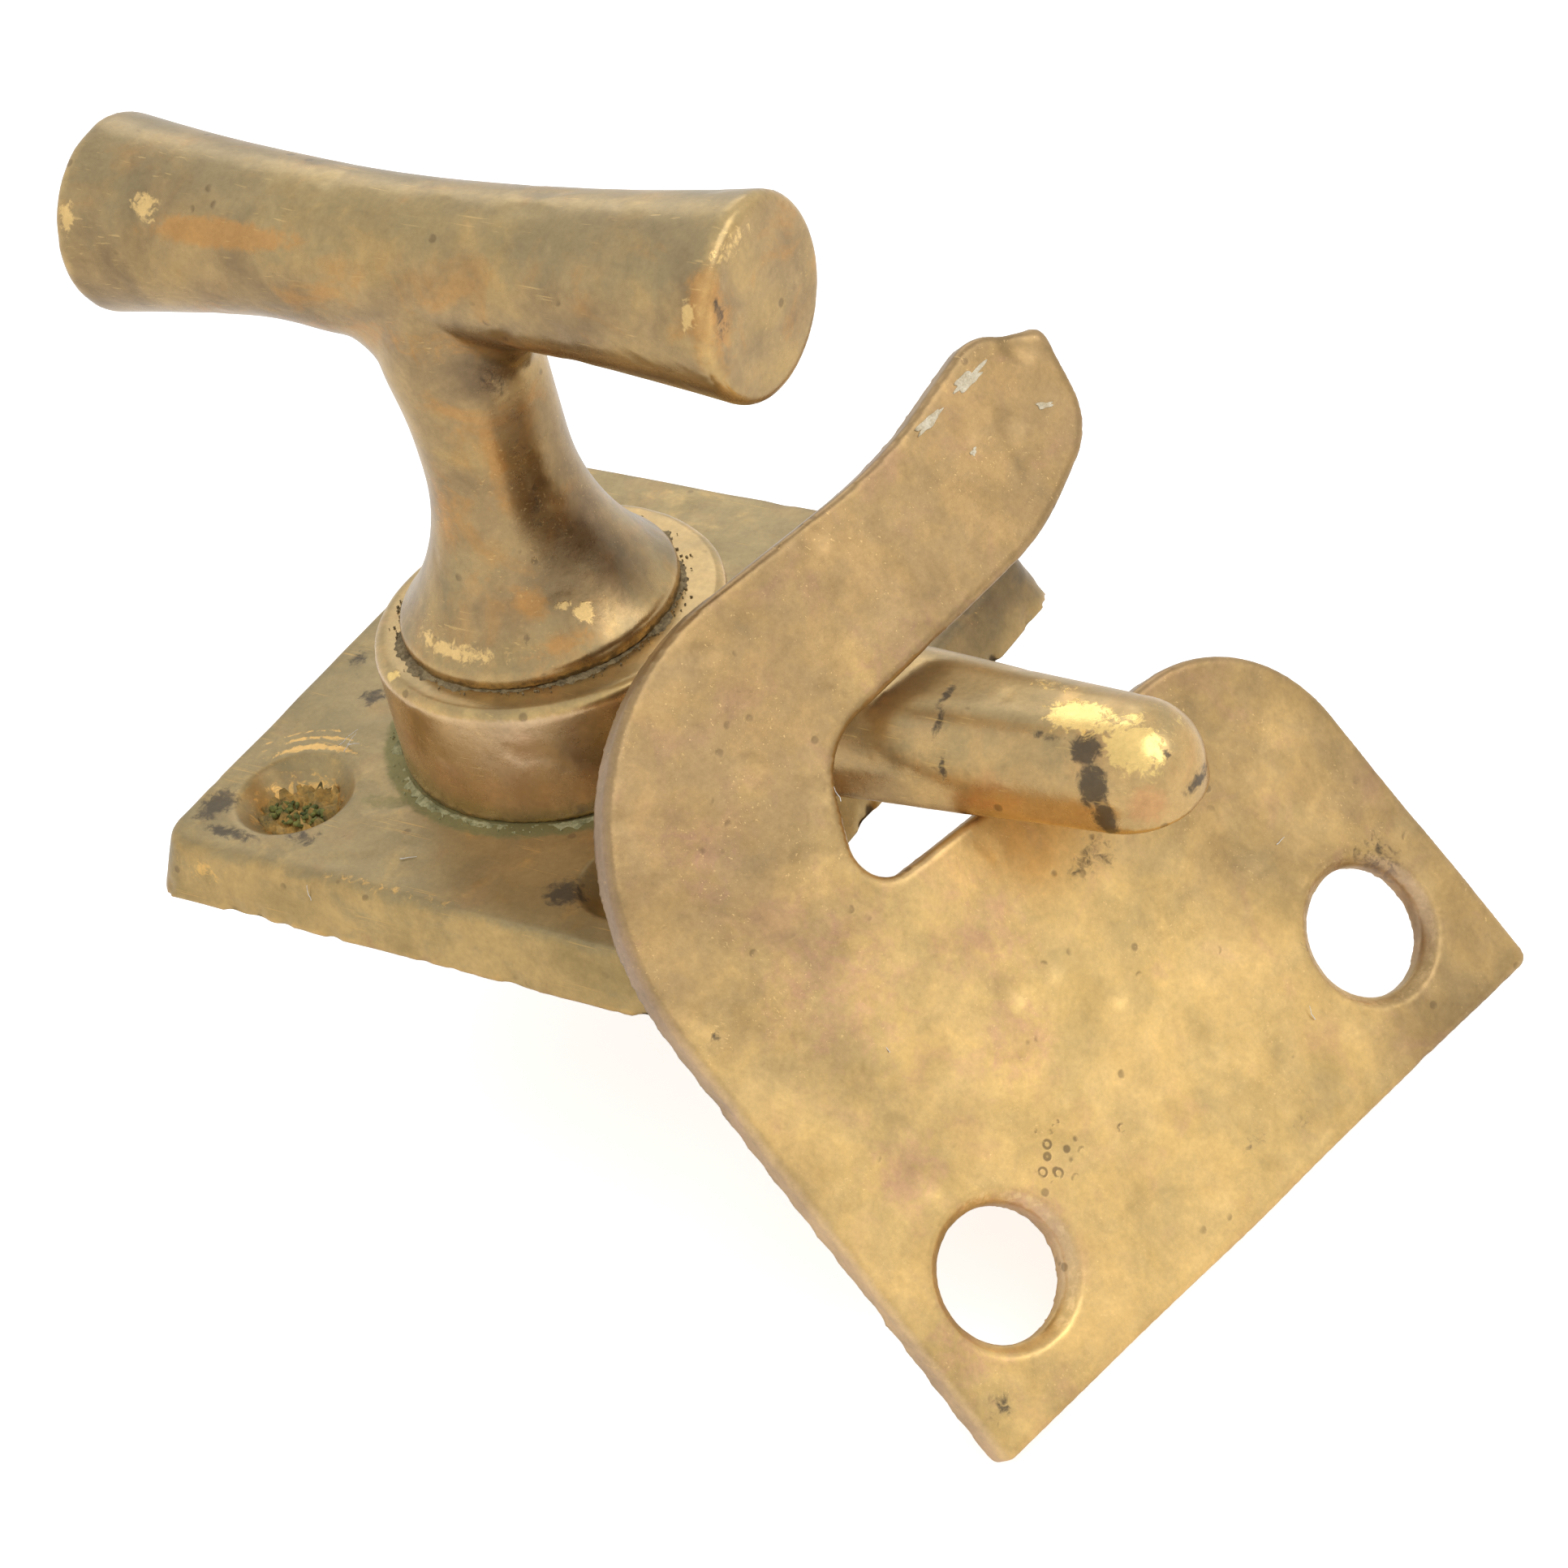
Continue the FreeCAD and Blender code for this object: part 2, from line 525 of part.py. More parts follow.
def draw_bar_profile(sketch):
    """Half the bar, lying along X: flat ends with rounded rims and a long hollow waist."""
    front, back = value["bar_reach_front"], value["bar_reach_back"]
    end, waist = value["bar_end_diameter"] / 2, value["bar_waist_diameter"] / 2
    edge = value["bar_end_round"]
    rim = end - edge
    half = (front + back) / 2 - edge
    radius = (half ** 2 + (end - waist) ** 2) / (2 * (end - waist))
    middle = Vector((front - back) / 2, waist + radius, 0)
    slant = math.asin(half / radius)
    hollow = Part.ArcOfCircle(Part.Circle(middle, Vector(0, 0, 1), radius),
                              1.5 * math.pi - slant, 1.5 * math.pi + slant)
    front_circle = Part.Circle(Vector(front - edge, rim, 0), Vector(0, 0, 1), edge)
    back_circle = Part.Circle(Vector(edge - back, rim, 0), Vector(0, 0, 1), edge)
    sketch.addGeometry(hollow, False)
    sketch.addGeometry(Part.ArcOfCircle(front_circle, 0, math.pi / 2), False)
    sketch.addGeometry(Part.LineSegment(Vector(front, rim, 0), Vector(front, 0, 0)), False)
    sketch.addGeometry(Part.LineSegment(Vector(front, 0, 0), Vector(-back, 0, 0)), False)
    sketch.addGeometry(Part.LineSegment(Vector(-back, 0, 0), Vector(-back, rim, 0)), False)
    sketch.addGeometry(Part.ArcOfCircle(back_circle, math.pi / 2, math.pi), False)
    link_chain(sketch, ((2, 2, 3, 1), (3, 2, 4, 1)), ((1, 1, 2, 1), (4, 2, 5, 2)))
    sketch.addConstraint(Sketcher.Constraint("Coincident", 0, 2, 1, 2))
    sketch.addConstraint(Sketcher.Constraint("Coincident", 0, 1, 5, 1))
    rim_formula = "{bar_end_diameter} / 2 - {bar_end_round}"
    pin_point(sketch, 1, 3, "{bar_reach_front} - {bar_end_round}", rim_formula, "front_rim")
    pin_point(sketch, 5, 3, "{bar_end_round} - {bar_reach_back}", rim_formula, "back_rim")
    set_radius(sketch, 1, edge, "{bar_end_round}", "front_round")
    set_radius(sketch, 5, edge, "{bar_end_round}", "back_round")
    pin_point(sketch, 3, 1, "{bar_reach_front}", None, "front_middle")
    pin_point(sketch, 3, 2, "-{bar_reach_back}", None, "back_middle")
    chord = "(({bar_reach_front} + {bar_reach_back}) / 2 - {bar_end_round})"
    sagitta = "(({bar_end_diameter} - {bar_waist_diameter}) / 2)"
    hollow_formula = "(%s^2 + %s^2) / (2 * %s)" % (chord, sagitta, sagitta)
    set_radius(sketch, 0, radius, hollow_formula, "hollow_radius")


def make_spring_washer():
    """A dished ring of thin sheet, its rim against the plate and its bore on the washer below."""
    body = new_body("spring_washer")
    profile = new_sketch(body, "spring_profile", "XZ_Plane")
    high, rise = value["recess_depth"], value["spring_rise"]
    sheet_thickness = value["spring_sheet"]
    inside, outside = value["spring_inside"] / 2, value["spring_outside"] / 2
    low = high - rise
    rim, bore = "{spring_outside} / 2", "{spring_inside} / 2"
    top, foot = "{recess_depth}", "{recess_depth} - {spring_rise}"
    draw_polygon(profile, [
        (inside, low, bore, foot),
        (outside, high - sheet_thickness, rim, top + " - {spring_sheet}"),
        (outside, high, rim, top),
        (inside, low + sheet_thickness, bore, foot + " + {spring_sheet}"),
    ])
    spin(body, profile, "spring", "V_Axis")
    return body


def make_retaining_washer():
    """A flat washer with a square hole on the shank's tail."""
    body = new_body("retaining_washer")
    top = "{recess_depth} - {spring_rise}"
    outline = new_sketch(body, "washer_outline", height=top)
    draw_circle(outline, "{washer_diameter}")
    extrude(body, "Pad", outline, "washer", "{washer_thickness}", reverse=True)
    square = new_sketch(body, "square_outline", height=top)
    side = value["tail_square"] + 2 * value["drive_gap"]
    formula = "{tail_square} + 2 * {drive_gap}"
    draw_rectangle(square, side, side, formula, formula)
    extrude(body, "Pocket", square, "square_hole")
    return body


def make_tail_screw():
    """A cheese-head screw, head down, whose thread runs up into the handle's shank."""
    body = new_body("tail_screw")
    seat = "{recess_depth} - {spring_rise} - {washer_thickness}"
    head = new_sketch(body, "head_outline", height=seat)
    draw_circle(head, "{tail_screw_head}")
    extrude(body, "Pad", head, "head", "{tail_screw_head_height}", reverse=True)
    thread = new_sketch(body, "thread_outline", height=seat)
    draw_circle(thread, "{tail_screw_thread}")
    extrude(body, "Pad", thread, "thread", "{tail_screw_length}")
    slot = new_sketch(body, "slot_outline", height=seat + " - {tail_screw_head_height}")
    width, length = value["tail_slot_width"], value["tail_screw_head"] + value["cut_margin"]
    draw_rectangle(slot, width, length, "{tail_slot_width}", "{tail_screw_head} + {cut_margin}")
    extrude(body, "Pocket", slot, "driver_slot", "{tail_slot_depth}", reverse=True)
    return body


def make_hook_keeper():
    """The flat keeper, drawn from its lower left corner, front face on the body's XY plane."""
    body = new_body("hook_keeper")
    outline = new_sketch(body, "keeper_outline")
    arcs = []
    for name, across, up, radius, turn in KEEPER_ARCS:
        formulas = tuple(formula % name for formula in KEEPER_FORMULAS)
        arcs.append((name, across, up, radius, turn) + formulas)
    draw_arc_ring(outline, arcs)
    extrude(body, "Pad", outline, "plate_sheet", "{keeper_thickness}", reverse=True)
    round_edges(body, "front_edge", "{keeper_edge}", lambda edge: at_height(edge, 0.0))
    holes = new_sketch(body, "keeper_hole_centres")
    inset, height = value["keeper_hole_inset"], value["keeper_hole_height"]
    draw_circle(holes, "{keeper_hole}", "{keeper_hole_inset}", "{keeper_hole_height}",
                "left_hole", (inset, height))
    draw_circle(holes, "{keeper_hole}", "{keeper_hole_inset} + {keeper_hole_spacing}",
                "{keeper_hole_height}", "right_hole", (inset + value["keeper_hole_spacing"], height))
    countersink(body, holes, "keeper_holes", "{keeper_hole}", "{keeper_hole_rim}",
                "{keeper_hole_angle}")
    return body


def turn_about(axis, degrees):
    return FreeCAD.Rotation(Vector(*axis), degrees)


def place_keeper(body):
    """Lean the keeper against the tongue: roll in its own plane, lean back, then yaw."""
    upright_plate = FreeCAD.Rotation(Vector(0, 1, 0), Vector(0, 0, 1), Vector(1, 0, 0), "XYZ")
    rotation = turn_about((0, 0, 1), -value["keeper_yaw"])
    rotation = rotation.multiply(turn_about((0, 1, 0), -value["keeper_lean"]))
    rotation = rotation.multiply(upright_plate)
    rotation = rotation.multiply(turn_about((0, 0, 1), value["keeper_roll"]))
    body.Placement = FreeCAD.Placement(Vector(0, 0, 0), rotation)
    for axis in "xyz":
        bind(body, "Placement.Base." + axis, "{keeper_%s}" % axis)


def place_on_spindle(body, rest_turn):
    """Stand a piece on the spindle's axis, turned by the rest turn if it turns with the handle."""
    body.Placement = FreeCAD.Placement(Vector(0, value["spindle_along"], 0), turn_about((0, 0, 1), 1))
    bind(body, "Placement.Base.y", "{spindle_along}")
    bind(body, "Placement.Rotation.Angle", rest_turn)


def check_and_write(bodies):
    """Refuse any failed feature or bad shape, then write one STEP file per sub-part."""
    doc.recompute()
    for item in doc.Objects:
        if "Invalid" in item.State or "Error" in item.State:
            raise RuntimeError("%s failed: %s" % (item.Name, item.State))
    os.makedirs("parts", exist_ok=True)
    for body in bodies:
        if body.Shape.isNull() or not body.Shape.isValid() or len(body.Shape.Solids) != 1:
            raise RuntimeError("%s is not one valid solid" % body.Label)
        body.Shape.exportStep("parts/%s.step" % body.Label)


fill_sheet()
plate = make_base_plate()
spring = make_spring_washer()
place_on_spindle(spring, "0")
turning = [make_tongue(), make_t_handle(), make_retaining_washer(), make_tail_screw()]
for piece in turning:
    place_on_spindle(piece, "{rest_turn}")
keeper = make_hook_keeper()
place_keeper(keeper)
check_and_write([plate, spring, keeper] + turning)
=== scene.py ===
"""Aged brass turn latch and hook keeper: cast skins, patina materials, soft white studio."""
import json
import math
import random
import bmesh
import bpy
import numpy as np
from mathutils import Matrix, Vector, noise


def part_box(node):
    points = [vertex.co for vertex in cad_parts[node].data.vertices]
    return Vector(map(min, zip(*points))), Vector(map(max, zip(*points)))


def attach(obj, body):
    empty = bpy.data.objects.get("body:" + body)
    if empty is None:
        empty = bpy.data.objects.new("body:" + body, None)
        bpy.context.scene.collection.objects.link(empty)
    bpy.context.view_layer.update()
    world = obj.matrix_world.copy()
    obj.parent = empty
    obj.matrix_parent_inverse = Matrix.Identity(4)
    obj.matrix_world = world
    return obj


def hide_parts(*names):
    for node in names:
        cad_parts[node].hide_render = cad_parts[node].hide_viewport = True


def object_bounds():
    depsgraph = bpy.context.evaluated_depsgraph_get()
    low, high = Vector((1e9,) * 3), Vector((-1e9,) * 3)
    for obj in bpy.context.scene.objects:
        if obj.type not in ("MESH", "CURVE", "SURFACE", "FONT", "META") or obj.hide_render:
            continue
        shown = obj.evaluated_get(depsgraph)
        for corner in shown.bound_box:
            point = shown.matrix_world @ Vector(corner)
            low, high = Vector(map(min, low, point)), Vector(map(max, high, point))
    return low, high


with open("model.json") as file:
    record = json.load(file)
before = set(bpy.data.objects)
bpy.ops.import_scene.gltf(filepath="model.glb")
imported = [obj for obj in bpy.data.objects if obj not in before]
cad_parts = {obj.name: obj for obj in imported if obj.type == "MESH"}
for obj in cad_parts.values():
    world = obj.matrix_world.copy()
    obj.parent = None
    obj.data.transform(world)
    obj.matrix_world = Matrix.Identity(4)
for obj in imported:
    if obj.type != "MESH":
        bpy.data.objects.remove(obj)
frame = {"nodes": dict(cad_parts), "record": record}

cad_low, cad_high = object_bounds()
MM = 0.001
FLOOR_SIZE = 6.0
FLOOR_GAP = 0.3 * MM

CAMERA_TARGET = Vector((0.0108, 0.0058, -0.0058))
CAMERA_AZIMUTH, CAMERA_ELEVATION, CAMERA_ROLL = 40.9, 36.78, -14.9
CAMERA_DISTANCE = 0.3321
CAMERA_LENS, CAMERA_SENSOR = 103.1, 36.0

joints = {joint["name"]: joint for joint in frame["record"]["behaviour"]["joints"]}
mounts = {mount["name"]: mount for mount in frame["record"]["mounts"]}

# The spindle's axis, and the keeper's own directions: along its foot, up its face, out of it.
SPINDLE = np.array(joints["handle_turn"]["pos_m"]) / MM
ALONG = -np.array(joints["keeper_slide"]["axis"], dtype=float)
OUT = np.array(mounts["keeper_hole_near"]["axis"], dtype=float)
UP = np.cross(OUT, ALONG)
NEAR_HOLE = np.array(mounts["keeper_hole_near"]["pos_m"]) / MM
FAR_HOLE = np.array(mounts["keeper_hole_far"]["pos_m"]) / MM


# ---------------------------------------------------------------- meshes

def points_of(mesh):
    """A mesh's vertices in millimetres."""
    flat = np.empty(len(mesh.vertices) * 3)
    mesh.vertices.foreach_get("co", flat)
    return flat.reshape(-1, 3) / MM


def put_points(mesh, points):
    mesh.vertices.foreach_set("co", (points * MM).ravel())
    mesh.update()


def normals_of(mesh):
    flat = np.empty(len(mesh.vertices) * 3)
    mesh.vertices.foreach_get("normal", flat)
    return flat.reshape(-1, 3)


def neighbour_mean(mesh):
    """A function that averages a field of values, one row per vertex, over each one's neighbours."""
    ends = np.empty(len(mesh.edges) * 2, dtype=int)
    mesh.edges.foreach_get("vertices", ends)
    first, second = ends.reshape(-1, 2).T
    size = len(mesh.vertices)
    count = np.bincount(ends, minlength=size)

    def mean(field):
        columns = [np.bincount(first, column[second], size) + np.bincount(second, column[first], size)
                   for column in field.T]
        return np.stack(columns, axis=1) / count[:, None]

    return mean


def smooth(mesh, rounds, weight=0.5):
    """Even out the surface without shrinking it much."""
    mean, points = neighbour_mean(mesh), points_of(mesh)
    for _ in range(rounds):
        for step in (weight, -weight * 0.96):
            points = points + step * (mean(points) - points)
    put_points(mesh, points)


def store_bend(mesh, gain=2.5, rounds=4):
    """Store how far the surface bulges at each vertex: above 0 on edges, below 0 in hollows."""
    mean, points = neighbour_mean(mesh), points_of(mesh)
    bend = np.sum((points - mean(points)) * normals_of(mesh), axis=1)[:, None]
    for _ in range(rounds):
        bend = (bend + mean(bend)) / 2
    mesh.attributes.new("bend", "FLOAT", "POINT").data.foreach_set("value", gain * bend[:, 0])


def waves(points, seed, shortest, longest, count=26):
    """A smooth random field, about -1 to 1, of plane waves whose lengths are in millimetres."""
    rng = np.random.default_rng(seed)
    field = np.zeros(len(points))
    for _ in range(count):
        direction = rng.normal(size=3)
        direction /= np.linalg.norm(direction)
        length = rng.uniform(shortest, longest)
        field += np.sin(points @ direction * 2 * math.pi / length + rng.uniform(0, 2 * math.pi))
    return field / math.sqrt(count / 2) / 2


def link(name, mesh, body, material):
    """Put a finished mesh into the scene as a piece that rides on a body."""
    piece = bpy.data.objects.new(name, mesh)
    bpy.context.scene.collection.objects.link(piece)
    mesh.materials.clear()
    mesh.materials.append(material)
    for polygon in mesh.polygons:
        polygon.use_smooth = True
    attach(piece, body)
    return piece


def skin(node, voxel):
    """A dense even mesh over a CAD node, with its sharp edges rounded."""
    mesh = frame["nodes"][node].data.copy()
    work = bmesh.new()
    work.from_mesh(mesh)
    bmesh.ops.remove_doubles(work, verts=work.verts, dist=1e-6)
    work.to_mesh(mesh)
    work.free()
    source = bpy.data.objects.new(node + "_source", mesh)
    bpy.context.scene.collection.objects.link(source)
    remesh = source.modifiers.new("remesh", "REMESH")
    remesh.mode = "VOXEL"
    remesh.voxel_size = voxel * MM
    bpy.context.view_layer.update()
    ready = source.evaluated_get(bpy.context.evaluated_depsgraph_get())
    result = bpy.data.meshes.new_from_object(ready)
    bpy.data.objects.remove(source)
    return result


def unevenness(mesh, seed, depth, shortest=5.0, longest=16.0):
    """Push the surface in and out a little, as a casting filed by hand."""
    points, normals = points_of(mesh), normals_of(mesh)
    broad = waves(points, seed, shortest, longest)
    dents = np.clip(waves(points, seed + 50, 2.2, 6.0) - 0.55, 0, None)
    put_points(mesh, points + normals * (depth * broad - 2.0 * depth * dents)[:, None])


def paint(mesh, name, spots):
    """Store a soft mask: each spot is (centre, radius, strength), in millimetres."""
    points = points_of(mesh)
    amount = np.zeros(len(points))
    for centre, radius, strength in spots:
        radius = np.broadcast_to(np.asarray(radius, dtype=float), 3)
        far = np.linalg.norm((points - np.asarray(centre)) / radius, axis=1)
        amount = np.maximum(amount, strength * np.clip(1.25 - far, 0, 1))
    attribute = mesh.attributes.get(name) or mesh.attributes.new(name, "FLOAT", "POINT")
    attribute.data.foreach_set("value", amount)


def paint_field(mesh, name, amount):
    attribute = mesh.attributes.get(name) or mesh.attributes.new(name, "FLOAT", "POINT")
    old = np.zeros(len(mesh.vertices))
    attribute.data.foreach_get("value", old)
    attribute.data.foreach_set("value", np.maximum(old, np.clip(amount, 0, 1)))


def keeper_point(along, up, out=0.0):
    """A point on the keeper's front face, measured from the centre of its near hole."""
    return NEAR_HOLE + ALONG * along + UP * up + OUT * (FRONT_OFFSET + out)


keeper_corners = points_of(frame["nodes"]["hook_keeper"].data)
FRONT_OFFSET = float(np.max((keeper_corners - NEAR_HOLE) @ OUT))


# ---------------------------------------------------------------- materials

class Finish:
    """A node material, built up layer by layer."""

    def __init__(self, name):
        self.material = bpy.data.materials.new(name)
        self.material.use_nodes = True
        self.tree = self.material.node_tree
        self.tree.nodes.clear()
        coordinates = self.tree.nodes.new("ShaderNodeTexCoord")
        self.place = self.mapped(coordinates.outputs["Object"], (1 / MM,) * 3)

    def set_input(self, socket, value):
        if isinstance(value, bpy.types.NodeSocket):
            self.tree.links.new(value, socket)
        elif value is not None:
            socket.default_value = value

    def mapped(self, vector, scale, turn=(0, 0, 0)):
        node = self.tree.nodes.new("ShaderNodeMapping")
        self.set_input(node.inputs["Vector"], vector)
        node.inputs["Scale"].default_value = scale
        node.inputs["Rotation"].default_value = turn
        return node.outputs[0]

    def noise(self, scale, detail=3.0, rough=0.55, distort=0.0, shift=0.0, vector=None):
        moved = self.tree.nodes.new("ShaderNodeVectorMath")
        self.set_input(moved.inputs[0], vector or self.place)
        moved.inputs[1].default_value = (17.3 * shift, 5.1 * shift, 0.0)
        node = self.tree.nodes.new("ShaderNodeTexNoise")
        self.set_input(node.inputs["Vector"], moved.outputs[0])
        node.inputs["Scale"].default_value = scale
        node.inputs["Detail"].default_value = detail
        node.inputs["Roughness"].default_value = rough
        node.inputs["Distortion"].default_value = distort
        return node.outputs[0]

    def cells(self, scale, feature="F1"):
        node = self.tree.nodes.new("ShaderNodeTexVoronoi")
        node.feature = feature
        self.set_input(node.inputs["Vector"], self.place)
        node.inputs["Scale"].default_value = scale
        return node

    def sum(self, operation, first, second=None, third=None):
        node = self.tree.nodes.new("ShaderNodeMath")
        node.operation = operation
        for socket, value in zip(node.inputs, (first, second, third)):
            self.set_input(socket, value)
        return node.outputs[0]

    def step(self, value, low, high, top=1.0):
        """0 below low and top above high, with a smooth rise."""
        node = self.tree.nodes.new("ShaderNodeMapRange")
        node.interpolation_type = "SMOOTHSTEP"
        for socket, number in zip(node.inputs, (value, low, high, 0.0, top)):
            self.set_input(socket, number)
        return node.outputs[0]

    def mask(self, name):
        node = self.tree.nodes.new("ShaderNodeAttribute")
        node.attribute_name = name
        return node.outputs["Fac"]

    def ragged(self, name, scale, detail=5.0, shift=0.0, spread=0.9, top=1.0, soft=0.10):
        """A painted mask whose edge is broken up by noise, and softer the larger soft is."""
        uneven = self.sum("SUBTRACT", self.noise(scale, detail, 0.66, 0.6, shift), 0.5)
        edge = self.sum("MULTIPLY_ADD", uneven, spread, self.mask(name))
        return self.step(edge, 0.52 - soft, 0.52 + soft, top)

    def blend(self, amount, under, over, kind="MIX"):
        node = self.tree.nodes.new("ShaderNodeMix")
        node.data_type = "RGBA"
        node.blend_type = kind
        for socket, value in zip((node.inputs[0], node.inputs[6], node.inputs[7]),
                                 (amount, under, over)):
            if isinstance(value, tuple) and len(value) == 3:
                value = value + (1.0,)
            self.set_input(socket, value)
        return node.outputs[2]

    def ramp(self, value, stops):
        node = self.tree.nodes.new("ShaderNodeValToRGB")
        ramp = node.color_ramp
        while len(ramp.elements) < len(stops):
            ramp.elements.new(0.5)
        for element, (place, colour) in zip(ramp.elements, stops):
            element.position = place
            element.color = colour + (1.0,)
        self.set_input(node.inputs[0], value)
        return node.outputs[0]

    def scratches(self, turn, shift, low=0.66):
        """Fine straight lines along one direction."""
        vector = self.mapped(self.place, (0.10, 4.5, 4.5), turn)
        return self.step(self.noise(1.0, 2.0, 0.5, 0.1, shift, vector), low, low + 0.05)

    def close(self, colour, rough, metal, height, strength=0.5, distance=0.08):
        bump = self.tree.nodes.new("ShaderNodeBump")
        bump.inputs["Strength"].default_value = strength
        bump.inputs["Distance"].default_value = distance * MM
        self.set_input(bump.inputs["Height"], height)
        surface = self.tree.nodes.new("ShaderNodeBsdfPrincipled")
        for name, value in (("Base Color", colour), ("Roughness", rough), ("Metallic", metal),
                            ("Normal", bump.outputs[0])):
            self.set_input(surface.inputs[name], value)
        out = self.tree.nodes.new("ShaderNodeOutputMaterial")
        self.tree.links.new(surface.outputs[0], out.inputs[0])
        return self.material


def old_brass(name, tones, olive, olive_amount, copper, rough=0.36, shift=0.0,
              wear_and_highlight_colour=(0.80, 0.56, 0.25)):
    """Handled brass: mottled tones, olive tarnish on top, copper blushes, bright wear and grime, plus
    painted shade, painted highlights and painted sheen.
    """
    f = Finish(name)
    geometry = f.tree.nodes.new("ShaderNodeNewGeometry")
    facing = f.tree.nodes.new("ShaderNodeSeparateXYZ")
    f.set_input(facing.inputs[0], geometry.outputs["Normal"])
    upward = f.sum("MAXIMUM", facing.outputs["Z"], 0.0)
    broad = f.noise(0.11, 4.0, 0.62, 0.4, shift)
    colour = f.ramp(broad, ((0.36, tones[0]), (0.5, tones[1]), (0.64, tones[2])))
    haze = f.noise(0.26, 5.0, 0.66, 0.4, shift + 3)
    tarnish = f.step(f.sum("MULTIPLY_ADD", upward, 0.42, haze), 0.60, 0.92, olive_amount)
    colour = f.blend(tarnish, colour, olive)
    blush = f.step(f.noise(0.19, 5.0, 0.64, 0.6, shift + 7), 0.52, 0.70, 0.60)
    blush = f.sum("MULTIPLY", blush, f.sum("MULTIPLY_ADD", upward, -0.6, 1.0))
    colour = f.blend(blush, colour, copper)
    # The copper mask: copper blushes, and a painted shade in copper brown along the handle bar's underside.
    blush_and_shade = f.ragged("copper", 0.8, shift=shift + 1, spread=1.3, top=0.75, soft=0.28)
    colour = f.blend(blush_and_shade, colour, copper)
    # The dark mask: dark stains, and a painted shade in the handle neck's corner under the bar.
    stain_and_shade = f.ragged("dark", 1.3, shift=shift + 2, spread=1.4, top=0.85, soft=0.22)
    colour = f.blend(stain_and_shade, colour, (0.10, 0.082, 0.062))
    green = f.ragged("green", 0.9, shift=shift + 4, top=0.8, soft=0.2)
    colour = f.blend(green, colour, (0.30, 0.29, 0.13))
    # The bright mask: worn bright patches, and painted highlights on the neck's foot and the base plate's
    # front top edge.
    wear_and_highlight = f.ragged("bright", 1.3, shift=shift + 5, spread=1.7, top=0.85, soft=0.14)
    colour = f.blend(wear_and_highlight, colour, wear_and_highlight_colour)
    # Painted sheen: the pale mask lightens the hub's side and the keeper's side rim.
    colour = f.blend(f.sum("MULTIPLY", f.mask("pale"), 0.5), colour, (0.90, 0.66, 0.46))
    uneven = f.sum("SUBTRACT", f.noise(0.8, 4.0, 0.6, 0, shift + 6), 0.5)
    bend = f.sum("MULTIPLY_ADD", uneven, 0.05, f.mask("bend"))
    rubbed = f.step(bend, 0.022, 0.07, 0.5)
    colour = f.blend(rubbed, colour, wear_and_highlight_colour)
    grime = f.step(bend, -0.018, -0.06, 0.8)
    colour = f.blend(grime, colour, (0.10, 0.07, 0.035))
    # Painted shade: where the shade mask is set, the colour is darkened to a greyish brown, with a cloudy
    # edge.
    painted_shade = f.sum("MULTIPLY_ADD", f.sum("SUBTRACT", f.noise(0.10, 5.0, 0.66, 0.35, shift + 14), 0.5), 1.1,
                  f.mask("shade"))
    painted_shade = f.sum("MULTIPLY", f.step(painted_shade, 0.0, 1.0), f.step(f.mask("shade"), 0.0, 0.25))
    colour = f.blend(painted_shade, colour, f.blend(1.0, colour, (0.50, 0.49, 0.56), "MULTIPLY"))
    grain = f.noise(2.2, 5.0, 0.7, 0.0, shift + 8)
    smudge = f.noise(0.24, 5.0, 0.68, 0.35, shift + 10)
    for pattern, low, high in ((grain, 0.90, 1.06), (smudge, 0.86, 1.12)):
        tone = f.ramp(pattern, ((0.30, (low,) * 3), (0.68, (high,) * 3)))
        colour = f.blend(1.0, colour, tone, "MULTIPLY")
    specks = f.cells(0.55)
    dots = f.step(specks.outputs["Distance"], 0.22, 0.13)
    rare = f.step(f.noise(0.3, 2.0, 0.5, 0, shift + 9), 0.58, 0.64)
    dots = f.sum("MULTIPLY", f.sum("MULTIPLY", dots, rare), 0.5)
    ring = f.cells(0.95).outputs["Distance"]
    ring = f.sum("MULTIPLY", f.step(ring, 0.16, 0.24), f.step(ring, 0.42, 0.32))
    dots = f.sum("MAXIMUM", dots, f.sum("MULTIPLY", ring, f.ragged("specks", 0.7, 3.0, shift, 1.2, 0.7)))
    colour = f.blend(dots, colour, (0.16, 0.11, 0.06))
    lines = f.sum("MAXIMUM", f.scratches((0.3, 0.5, 0.6), shift, 0.67),
                  f.scratches((1.1, 0.2, 2.2), shift + 1, 0.67))
    lines = f.sum("MULTIPLY", lines, f.step(f.noise(0.2, 3.0, 0.6, 0, shift + 11), 0.45, 0.6))
    colour = f.blend(f.sum("MULTIPLY", lines, 0.35), colour, wear_and_highlight_colour)
    deep = f.tree.nodes.new("ShaderNodeGamma")
    f.set_input(deep.inputs["Color"], colour)
    deep.inputs["Gamma"].default_value = 1.05
    colour = deep.outputs[0]
    roughness = f.sum("MULTIPLY_ADD", f.noise(0.35, 5.0, 0.65, 0.3, shift + 12), 0.22, rough - 0.14)
    for amount, change in ((tarnish, 0.07), (stain_and_shade, 0.10), (green, 0.35), (grime, 0.3), (wear_and_highlight, -0.08)):
        roughness = f.sum("MULTIPLY_ADD", amount, change, roughness)
    dull = f.sum("MAXIMUM", f.sum("MAXIMUM", green, grime), tarnish)
    metal = f.sum("MULTIPLY_ADD", dull, -0.30, 0.95)
    height = f.sum("MULTIPLY", f.noise(0.5, 4.0, 0.6, 0.2, shift + 13), 0.6)
    for pattern, depth in ((grain, 0.25), (dots, -0.5), (lines, -0.15), (wear_and_highlight, -0.3), (stain_and_shade, -0.2)):
        height = f.sum("MULTIPLY_ADD", pattern, depth, height)
